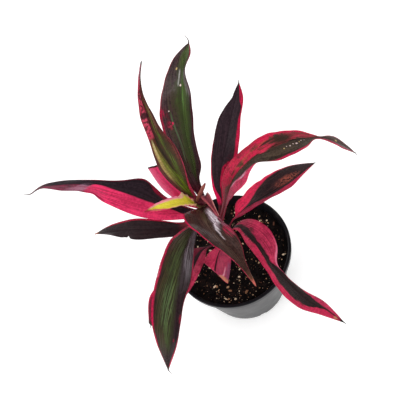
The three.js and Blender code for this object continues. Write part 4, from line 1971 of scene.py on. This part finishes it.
RIGHT_SMALL_MARKS = (
    Band(tint(250, 34, 92), deep=tint(206, 22, 72),
         right=((0, 0.1), (0.27, 0.04), (0.36, 0.14), (0.43, 0.34), (0.5, 0.6), (0.58, 0.78),
                (0.68, 0.88), (0.8, 0.95), (1, 0.97)), ragged=0.08),
    Band(tint(170, 34, 72), deep=tint(136, 18, 52),
         left=((0, 0), (0.27, -0.06), (0.4, -0.14), (0.5, -0.4), (0.58, -0.54), (0.72, -0.42),
               (0.82, -0.44), (0.92, -0.5), (1, -0.7)), ragged=0.24),
    Band(tint(204, 28, 74), 0.9, Look.STREAKS, left=-0.5, soft=0.08, begin=0.6, end=0.94),
    Patch(tint(122, 62, 56), 0.6, Look.STREAKS, share=0.75, across=0.18, length=0.17, width=0.36, core=0),
    Patch(tint(170, 84, 66), 0.8, Look.FLECKS, share=0.76, across=0.18, length=0.14, width=0.28, core=0),
)

RIGHT_LOW_MARKS = (
    Band(tint(204, 54, 90), deep=tint(150, 26, 62),
         right=((0, 0.6), (0.15, 0.5), (0.2, 0.34), (0.3, 0.18), (0.42, 0.05), (0.5, 0.05), (0.55, 0.4),
                (0.6, 0.92), (0.72, 0.95), (0.8, 0.7), (0.9, 0.4), (1, 0.4)), ragged=0.5),
    Band(tint(226, 120, 150), 0.7, right=((0, 0.95), (0.44, 0.92), (0.53, 0.7), (0.6, 0.94), (1, 1)),
         left=1, soft=0.06, begin=0.42, end=0.6),
    Band(tint(204, 40, 82), deep=tint(160, 24, 58),
         left=((0, -0.1), (0.18, -0.2), (0.26, -0.54), (0.36, -0.42), (0.46, -0.42), (0.56, -0.56),
               (0.66, -0.66), (0.8, -0.6), (0.87, -0.2), (0.92, 0.2), (1, 0.2)), ragged=0.4),
    Patch(tint(52, 34, 34), 0.9, Look.BLOTCHES, share=0.24, across=0.24, length=0.08, width=0.3, core=0),
    Patch(NIGHT, 0.8, Look.FLECKS, share=0.29, across=-0.4, length=0.06, width=0.35),
    Patch(MAROON, 0.6, Look.STREAKS, share=0.2, across=0.4, width=0.6, core=0),
    Patch(MAROON, 0.5, Look.STREAKS, share=0.42, across=0.5, length=0.12, width=0.4, core=0),
    Patch(TAN, 0.9, share=0.955, across=-0.2, length=0.012, width=0.6),
)


LEAVES = (
    Leaf(
        "leaf_back_tall", "leaf_green",
        LeafForm(
            58, 180,
            ((1, 15, 198), (4, 20, 215), (8, 28, 233), (13, 38, 247), (19, 50, 255), (26, 63, 258),
             (33, 76, 258), (41, 89, 254)),
            left=(2.5, 9, 16, 18, 19, 17, 14, 8, 0.5),
            right=(2, 3, 9, 8, 9, 8, 3, 6, 0.5),
            roll=(0, -10, -20, -20, -20, -20, -20, -15, -10),
            wave=(0.8, 2, 0), thread=8, curl=(-0.55, 0.05, 0.74),
        ),
        LeafFinish(BACK_TALL_MARKS, dark=tint(44, 28, 31), shade=tint(86, 60, 62), rib_strength=0.6,
                   rough=0.3, specular=0.06, relief=0.5, seed=1),
    ),
    Leaf(
        "leaf_back_green", "leaf_green",
        LeafForm(
            118, 183,
            ((-9, 10, 206), (-11, 13, 230), (-12, 17, 246), (-12, 24, 259), (-10, 34, 269), (-8, 46, 274),
             (-3, 60, 276), (3, 73, 275)),
            left=(2, 7, 9, 7, 4.5, 5.5, 3, 1, 0.5),
            right=(1.5, 4, 9, 10, 7, 4.5, 2.5, 1, 0.5),
            roll=(0, 0, 0, 10, 20, 40, 50),
            fold=(0, 15, 15, 12),
            wave=(0.6, 2, 90), thread=1, curl=(0.2, 0.2, 0.9),
        ),
        LeafFinish(BACK_GREEN_MARKS, dark=tint(58, 26, 26), shade=tint(112, 52, 46), rib=tint(40, 24, 20),
                   rib_width=0.14, rib_strength=0.8, foot=tint(150, 50, 72), foot_reach=0.06, relief=0.5,
                   seed=2),
    ),
    Leaf(
        "leaf_back_cut", "leaf_pink",
        LeafForm(
            141, 172,
            ((-14, 11, 184), (-18, 16, 195), (-21, 22, 203), (-24, 36, 211)),
            left=(2, 5, 6, 6, 5),
            right=(2, 6, 9, 9, 8),
            fold=(25, 20, 15, 10),
            wave=(0.3, 1, 0), slant=0.04,
        ),
        LeafFinish(BACK_CUT_MARKS, rib_strength=0, tip=BARK, dry_end=0.02, foot=CRIMSON, speckle=0.1,
                   seed=3, rough=0.4),
    ),
    Leaf(
        "leaf_left_long", "leaf_pink",
        LeafForm(
            160, 160,
            ((-19, 10, 170), (-31, 16, 181), (-46, 24, 192), (-63, 38, 200), (-80, 54, 201),
             (-99, 68, 195), (-117, 83, 186), (-133, 93, 172)),
            left=(3, 7.5, 12, 13, 10.5, 6, 4, 1.5, 0.5),
            right=(3, 4, 7, 16, 9, 4.5, 4.5, 1.5, 0.5),
            roll=(0, -10, -20, -20, -20, -20, -20, -10, 0),
            fold=(25, 20, 15, 15, 15, 15, 12),
            wave=(1.4, 3, 0), thread=6, curl=(-0.4, 0.1, 0.7),
            dents=(Dent(0.575, 1, 0.22, 0.03), Dent(0.4, -1, -0.1, 0.06)),
        ),
        LeafFinish(LEFT_LONG_MARKS, dark=tint(30, 20, 26), shade=tint(48, 34, 42), speckle=0.12, seed=4),
    ),
    Leaf(
        "leaf_left_short", "leaf_dark",
        LeafForm(
            174, 144,
            ((-18, 3, 156), (-31, 3, 164), (-45, 6, 171), (-59, 13, 172), (-72, 20, 169), (-84, 28, 164),
             (-95, 37, 156)),
            left=(2.5, 5, 7, 7.5, 8.5, 5.5, 2, 0.5),
            right=(2.5, 2.5, 4.5, 7.5, 9, 8, 5, 0.5),
            roll=(0, 0, -20, -25, -25, -20, -10, 0),
            wave=(0.7, 3, 60), thread=6, dents=(Dent(0.655, 1, 0.34, 0.008), Dent(0.68, 1, 0.12, 0.03)),
        ),
        LeafFinish(LEFT_SHORT_MARKS, dark=tint(34, 22, 26), shade=tint(54, 40, 42), tip=tint(150, 82, 56),
                   dry_end=0.03, seed=5),
    ),
    Leaf(
        "leaf_front_left", "leaf_dark",
        LeafForm(
            232, 154,
            ((-17, -6, 167), (-27, -20, 178), (-36, -34, 185), (-45, -49, 187), (-54, -62, 185),
             (-63, -74, 179), (-72, -84, 169), (-82, -94, 150)),
            left=(3, 4, 6.5, 10, 11, 8, 7.5, 6.5, 0.5),
            right=(3, 4, 13, 14, 15.5, 16, 14, 8.5, 0.5),
            roll=(0, 0, 0, -5, -10, -10, -10, -10, 0),
            fold=(25, 20, 15, 15, 15, 12),
            wave=(0.8, 3, 120), thread=4, curl=(0.8, -0.7, 0.2),
        ),
        LeafFinish(FRONT_LEFT_MARKS, dark=tint(36, 24, 27), shade=tint(58, 40, 44), rib=UMBER,
                   foot=tint(80, 40, 42), rough=0.28, specular=0.16, relief=0.7, seed=6),
    ),
    Leaf(
        "leaf_under_left", "leaf_pink",
        LeafForm(
            217, 110,
            ((-14, -5, 122), (-22, -9, 129), (-31, -18, 134), (-42, -27, 133), (-55, -33, 129),
             (-72, -35, 122), (-89, -40, 109)),
            left=(2.5, 4, 5, 7, 7, 7, 7, 0.5),
            right=(2.5, 3, 6, 12, 15, 16, 14, 3),
            roll=(0, 0, 0, -10, -15, -15, -15, 0),
            fold=(25, 20, 15, 15, 12),
            wave=(0.8, 3, 200), dents=(Dent(0.18, 1, 0.72, 0.1), Dent(0.18, -1, 0.66, 0.1)),
        ),
        LeafFinish(UNDER_LEFT_MARKS, seed=7, foot=tint(62, 14, 30), foot_reach=0.4, rough=0.42),
    ),
    Leaf(
        "leaf_front_cut", "leaf_pink",
        LeafForm(
            253, 104,
            ((-6, -9, 116), (-11, -17, 124), (-17, -28, 128), (-24, -41, 129)),
            left=(2.5, 6, 11, 12, 11),
            right=(2.5, 5, 9, 14, 15),
            fold=(25, 20, 15, 10),
            wave=(0.3, 1, 0), slant=0.17,
        ),
        LeafFinish(FRONT_CUT_MARKS, rib=tint(22, 14, 18), rib_strength=1, tip=tint(190, 60, 90),
                   dry_end=0.004, speckle=0.16, seed=8),
    ),
    Leaf(
        "leaf_front_glossy", "leaf_dark",
        LeafForm(
            278, 180,
            ((-5, -10, 193), (-5, -22, 201), (-4, -35, 208), (-2, -48, 214), (1, -61, 217), (3, -74, 217),
             (4, -89, 213)),
            left=(3, 5, 7, 8.5, 10, 7.5, 2.5, 0.5),
            right=(3, 15, 16, 12, 9, 6, 3, 0.5),
            roll=(0, -10, -10, -10, -10, -10, 0),
            fold=(25, 15, 12),
            wave=(0.5, 2, 0), thread=1,
        ),
        LeafFinish(FRONT_GLOSSY_MARKS, dark=tint(46, 29, 27), shade=tint(78, 52, 46),
                   rib=tint(40, 26, 24), tip=tint(190, 96, 84), dry_end=0.03, foot=tint(70, 50, 40),
                   foot_reach=0.08, rough=0.2, specular=0.06, relief=1.1, seed=9),
    ),
    Leaf(
        "leaf_young_lime", "leaf_lime",
        LeafForm(
            186, 184,
            ((-13.5, -0.5, 197), (-21, -4, 210), (-31, -7, 220), (-42, -8, 226)),
            left=(2, 3.5, 4, 3.5, 0.5),
            right=(1, 6, 6.5, 4.5, 0.5),
            wave=(0.3, 2, 0), thread=1, frill=1.4,
            dents=(Dent(0.14, 1, -0.3, 0.1), Dent(0.12, -1, -1.9, 0.12)),
        ),
        LeafFinish(YOUNG_LIME_MARKS, dark=tint(214, 200, 40), shade=tint(240, 226, 84),
                   rib=tint(236, 214, 96), rib_strength=0.5, tip=CRIMSON, foot=tint(74, 56, 42),
                   foot_reach=0.06, underside=tint(216, 160, 110), seed=10, rough=0.4),
        Sheath(length=6),
    ),
    Leaf(
        "leaf_young_rolled", "leaf_dark",
        LeafForm(
            351, 178,
            ((1.8, 4.2, 185.5), (0.8, 0.8, 190.5), (2, -7, 191.5), (3.2, -19, 189)),
            left=(1.5, 3, 3, 2, 0.5),
            right=(1.5, 1.2, 2.8, 2, 0.5),
            fold=(25, 35, 35, 30, 20),
            wave=(0.2, 1, 0), thread=2,
            dents=(Dent(0.24, 1, 0.4, 0.1), Dent(0.6, 1, -0.55, 0.2), Dent(0.5, -1, -0.35, 0.3)),
        ),
        LeafFinish(YOUNG_ROLLED_MARKS, dark=tint(110, 50, 52), shade=tint(150, 76, 74),
                   underside=tint(170, 80, 84), seed=11),
        Sheath(length=6),
    ),
    Leaf(
        "leaf_right_dark", "leaf_dark",
        LeafForm(
            50, 131,
            ((10, 12.5, 146), (15.5, 23, 160), (26, 33, 174), (37, 43, 184), (48, 57, 189), (59, 71, 191),
             (68, 84, 191)),
            left=(2, 3, 6, 10, 11, 10, 4, 0.5),
            right=(2, 2.5, 8, 12.5, 11, 8.5, 7, 0.5),
            wave=(0.7, 3, 30), curl=(-0.3, 0.5, 0.2), dents=(Dent(0.87, 1, 0.2, 0.03),),
        ),
        LeafFinish(RIGHT_DARK_MARKS, dark=tint(42, 30, 36), shade=tint(64, 47, 54),
                   foot=tint(112, 32, 42), foot_reach=0.22, specular=0.05, seed=12),
    ),
    Leaf(
        "leaf_right_long", "leaf_pink",
        LeafForm(
            352, 139,
            ((13, 7, 154), (22, 10, 171), (33, 13, 182), (48, 14, 190), (66, 12, 194), (84, 12, 188),
             (102, 13, 174), (117, 11, 157), (130, 5, 138)),
            left=(2.5, 4, 9.5, 12, 10.5, 12.5, 9, 1.5, 6, 0.5),
            right=(2.5, 3, 10, 14, 7, 14.5, 12, 1.5, 9, 0.5),
            fold=(25, 20, 20, 15, 12, 12, 12, 25, 15, 12),
            wave=(1, 4, 0),
        ),
        LeafFinish(RIGHT_LONG_MARKS, dark=tint(44, 33, 28), shade=tint(86, 70, 56), rib=tint(36, 28, 22),
                   rib_strength=0.8, rib_width=0.12, foot=tint(110, 28, 42), foot_reach=0.32, seed=13),
    ),
    Leaf(
        "leaf_right_small", "leaf_pink",
        LeafForm(
            354, 118,
            ((12, 5, 126), (22, 4, 136), (35, 2, 144), (49, 1, 148), (64, 3, 147), (80, 8, 142),
             (97, 16, 133)),
            left=(2, 1.5, 6, 15.5, 17, 17, 12.5, 0.5),
            right=(2, 2, 4, 5, 6, 7, 3, 0.5),
            roll=(0, 0, -10, -15, -15, -15, -10, 0),
            fold=(20, 20, 15, 12),
            wave=(0.6, 2, 180),
            dents=(Dent(0.14, 1, 0.6, 0.05), Dent(0.2, 1, 0.8, 0.035), Dent(0.28, 1, -0.6, 0.05),
                   Dent(0.14, -1, 0.85, 0.09)),
        ),
        LeafFinish(RIGHT_SMALL_MARKS, dark=tint(40, 27, 31), shade=tint(66, 46, 46), rib=tint(26, 16, 18),
                   rib_strength=0.7, foot=tint(92, 18, 36), foot_reach=0.3, speckle=0.16, seed=14),
    ),
    Leaf(
        "leaf_right_low", "leaf_pink",
        LeafForm(
            314, 108,
            ((10, -2, 126), (17, -10, 134), (21, -24, 139), (23, -40, 142), (24, -55, 141),
             (28, -69, 136), (34, -83, 127), (43, -95, 115), (55, -108, 99)),
            left=(2, 2.5, 10, 14.5, 12.5, 4.5, 3.5, 5.5, 6.5, 0.5),
            right=(2, 2, 4.5, 8, 8.5, 9.5, 13, 11, 5, 0.5),
            roll=(0, 0, 0, -10, -20, -30, -30, -20, -10, 0),
            fold=(20, 20, 15, 12),
            wave=(0.8, 3, 0),
        ),
        LeafFinish(RIGHT_LOW_MARKS, dark=tint(36, 24, 26), shade=tint(54, 38, 38), rib_strength=0.3,
                   tip=tint(36, 22, 24), foot=tint(120, 26, 50), foot_reach=0.16, speckle=0.18, seed=15),
    ),
)


@dataclass(frozen=True)
class Camera:
    """The photograph's camera, found from the pot's rim and base."""

    place: Place = (0.0, -237.1, 600.8)
    yaw: float = -0.31
    pitch: float = 60.89
    roll: float = -26.98
    focal_pixels: float = 620.0
    frame_pixels: float = 416.0
    sensor: float = 36.0

    def build(self) -> None:
        """Sets the scene's camera."""
        yaw, pitch, roll = (math.radians(angle) for angle in (self.yaw, self.pitch, self.roll))
        ahead = Vector((math.sin(yaw), math.cos(yaw), 0.0))
        level = Vector((math.cos(yaw), -math.sin(yaw), 0.0))
        look = ahead * math.cos(pitch) - Vector((0.0, 0.0, math.sin(pitch)))
        upright = level.cross(look)
        right = level * math.cos(roll) + upright * math.sin(roll)
        up = upright * math.cos(roll) - level * math.sin(roll)
        data = bpy.data.cameras.new("camera")
        data.sensor_width = self.sensor
        data.lens = self.focal_pixels * self.sensor / self.frame_pixels
        camera = added("camera", data)
        turn = Matrix((right, up, -look)).transposed().to_4x4()
        camera.matrix_world = Matrix.Translation(Vector(self.place) * MM) @ turn
        bpy.context.scene.camera = camera


@dataclass(frozen=True)
class Lamp:
    """A large soft light, out of the camera's sight."""

    name: str
    place: Place
    size: Pair
    power: float
    glossy: bool = True
    diffuse: bool = True
    shadow: bool = True
    towards: Place = (0.0, 0.0, 0.15)

    def build(self) -> None:
        """Builds the light."""
        data = bpy.data.lights.new(self.name, "AREA")
        data.shape = "RECTANGLE"
        data.size, data.size_y = self.size
        data.energy = self.power
        data.use_shadow = self.shadow
        light = added(self.name, data)
        light.location = self.place
        way = Vector(self.towards) - Vector(self.place)
        light.rotation_mode = "QUATERNION"
        light.rotation_quaternion = way.to_track_quat("-Z", "Y")
        light.visible_camera = False
        light.visible_glossy = self.glossy
        light.visible_diffuse = self.diffuse


@dataclass(frozen=True)
class Studio:
    """The white floor, the even white sky, and the lamps that give the blades their gloss."""

    floor_radius: float = 30.0
    floor_steps: int = 96
    floor_tones: tuple[Colour, Colour] = ((0.9, 0.9, 0.89), (0.92, 0.92, 0.91))
    floor_scale: float = 3.0
    floor_rough: float = 0.8
    floor_specular: float = 0.2
    floor_glow: float = 0.25
    white: Colour = (1.0, 1.0, 1.0)
    sky: Colour = (0.99, 0.99, 1.0)
    sky_strength: float = 1.2
    lamps: tuple[Lamp, ...] = (
        Lamp("window_back", (-0.74, 0.96, 0.37), (0.22, 0.32), 5.0, diffuse=False, shadow=False),
        Lamp("fill_left", (-1.2, -0.5, 0.9), (1.0, 1.0), 5.0, glossy=False),
    )

    def build(self) -> None:
        """Builds the floor, the sky and the lamps."""
        self.build_floor()
        world = bpy.data.worlds.new("studio")
        world.use_nodes = True
        background = world.node_tree.nodes["Background"]
        background.inputs["Color"].default_value = (*self.sky, 1.0)
        background.inputs["Strength"].default_value = self.sky_strength
        world.cycles_visibility.glossy = False
        bpy.context.scene.world = world
        bpy.context.scene.view_settings.view_transform = "Standard"
        for lamp in self.lamps:
            lamp.build()

    def build_floor(self) -> None:
        """Builds the wide white floor."""
        board = Board("floor_white")
        shade = board.noise(board.object_place(), self.floor_scale)
        board.set(
            Base_Color=board.mix(shade, *self.floor_tones),
            Roughness=self.floor_rough,
            Specular_IOR_Level=self.floor_specular,
            Emission_Color=self.white,
            Emission_Strength=self.floor_glow,
        )
        mesh = bmesh.new()
        bmesh.ops.create_circle(mesh, cap_ends=True, segments=self.floor_steps, radius=self.floor_radius)
        floor = added("floor", baked("floor", mesh))
        floor.data.materials.append(board.material)


def main() -> None:
    """Builds the studio and the plant in order, and reports each piece."""
    logging.basicConfig(level=logging.INFO, format="%(name)s: %(message)s")
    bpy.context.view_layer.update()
    Camera().build()
    Studio().build()
    for part in (Pot(), Soil(), Cane(), Spear(), *LEAVES):
        for piece in part.build():
            LOG.info("%s: %d faces", piece.name, len(piece.data.polygons))


if __name__ == "__main__":
    main()
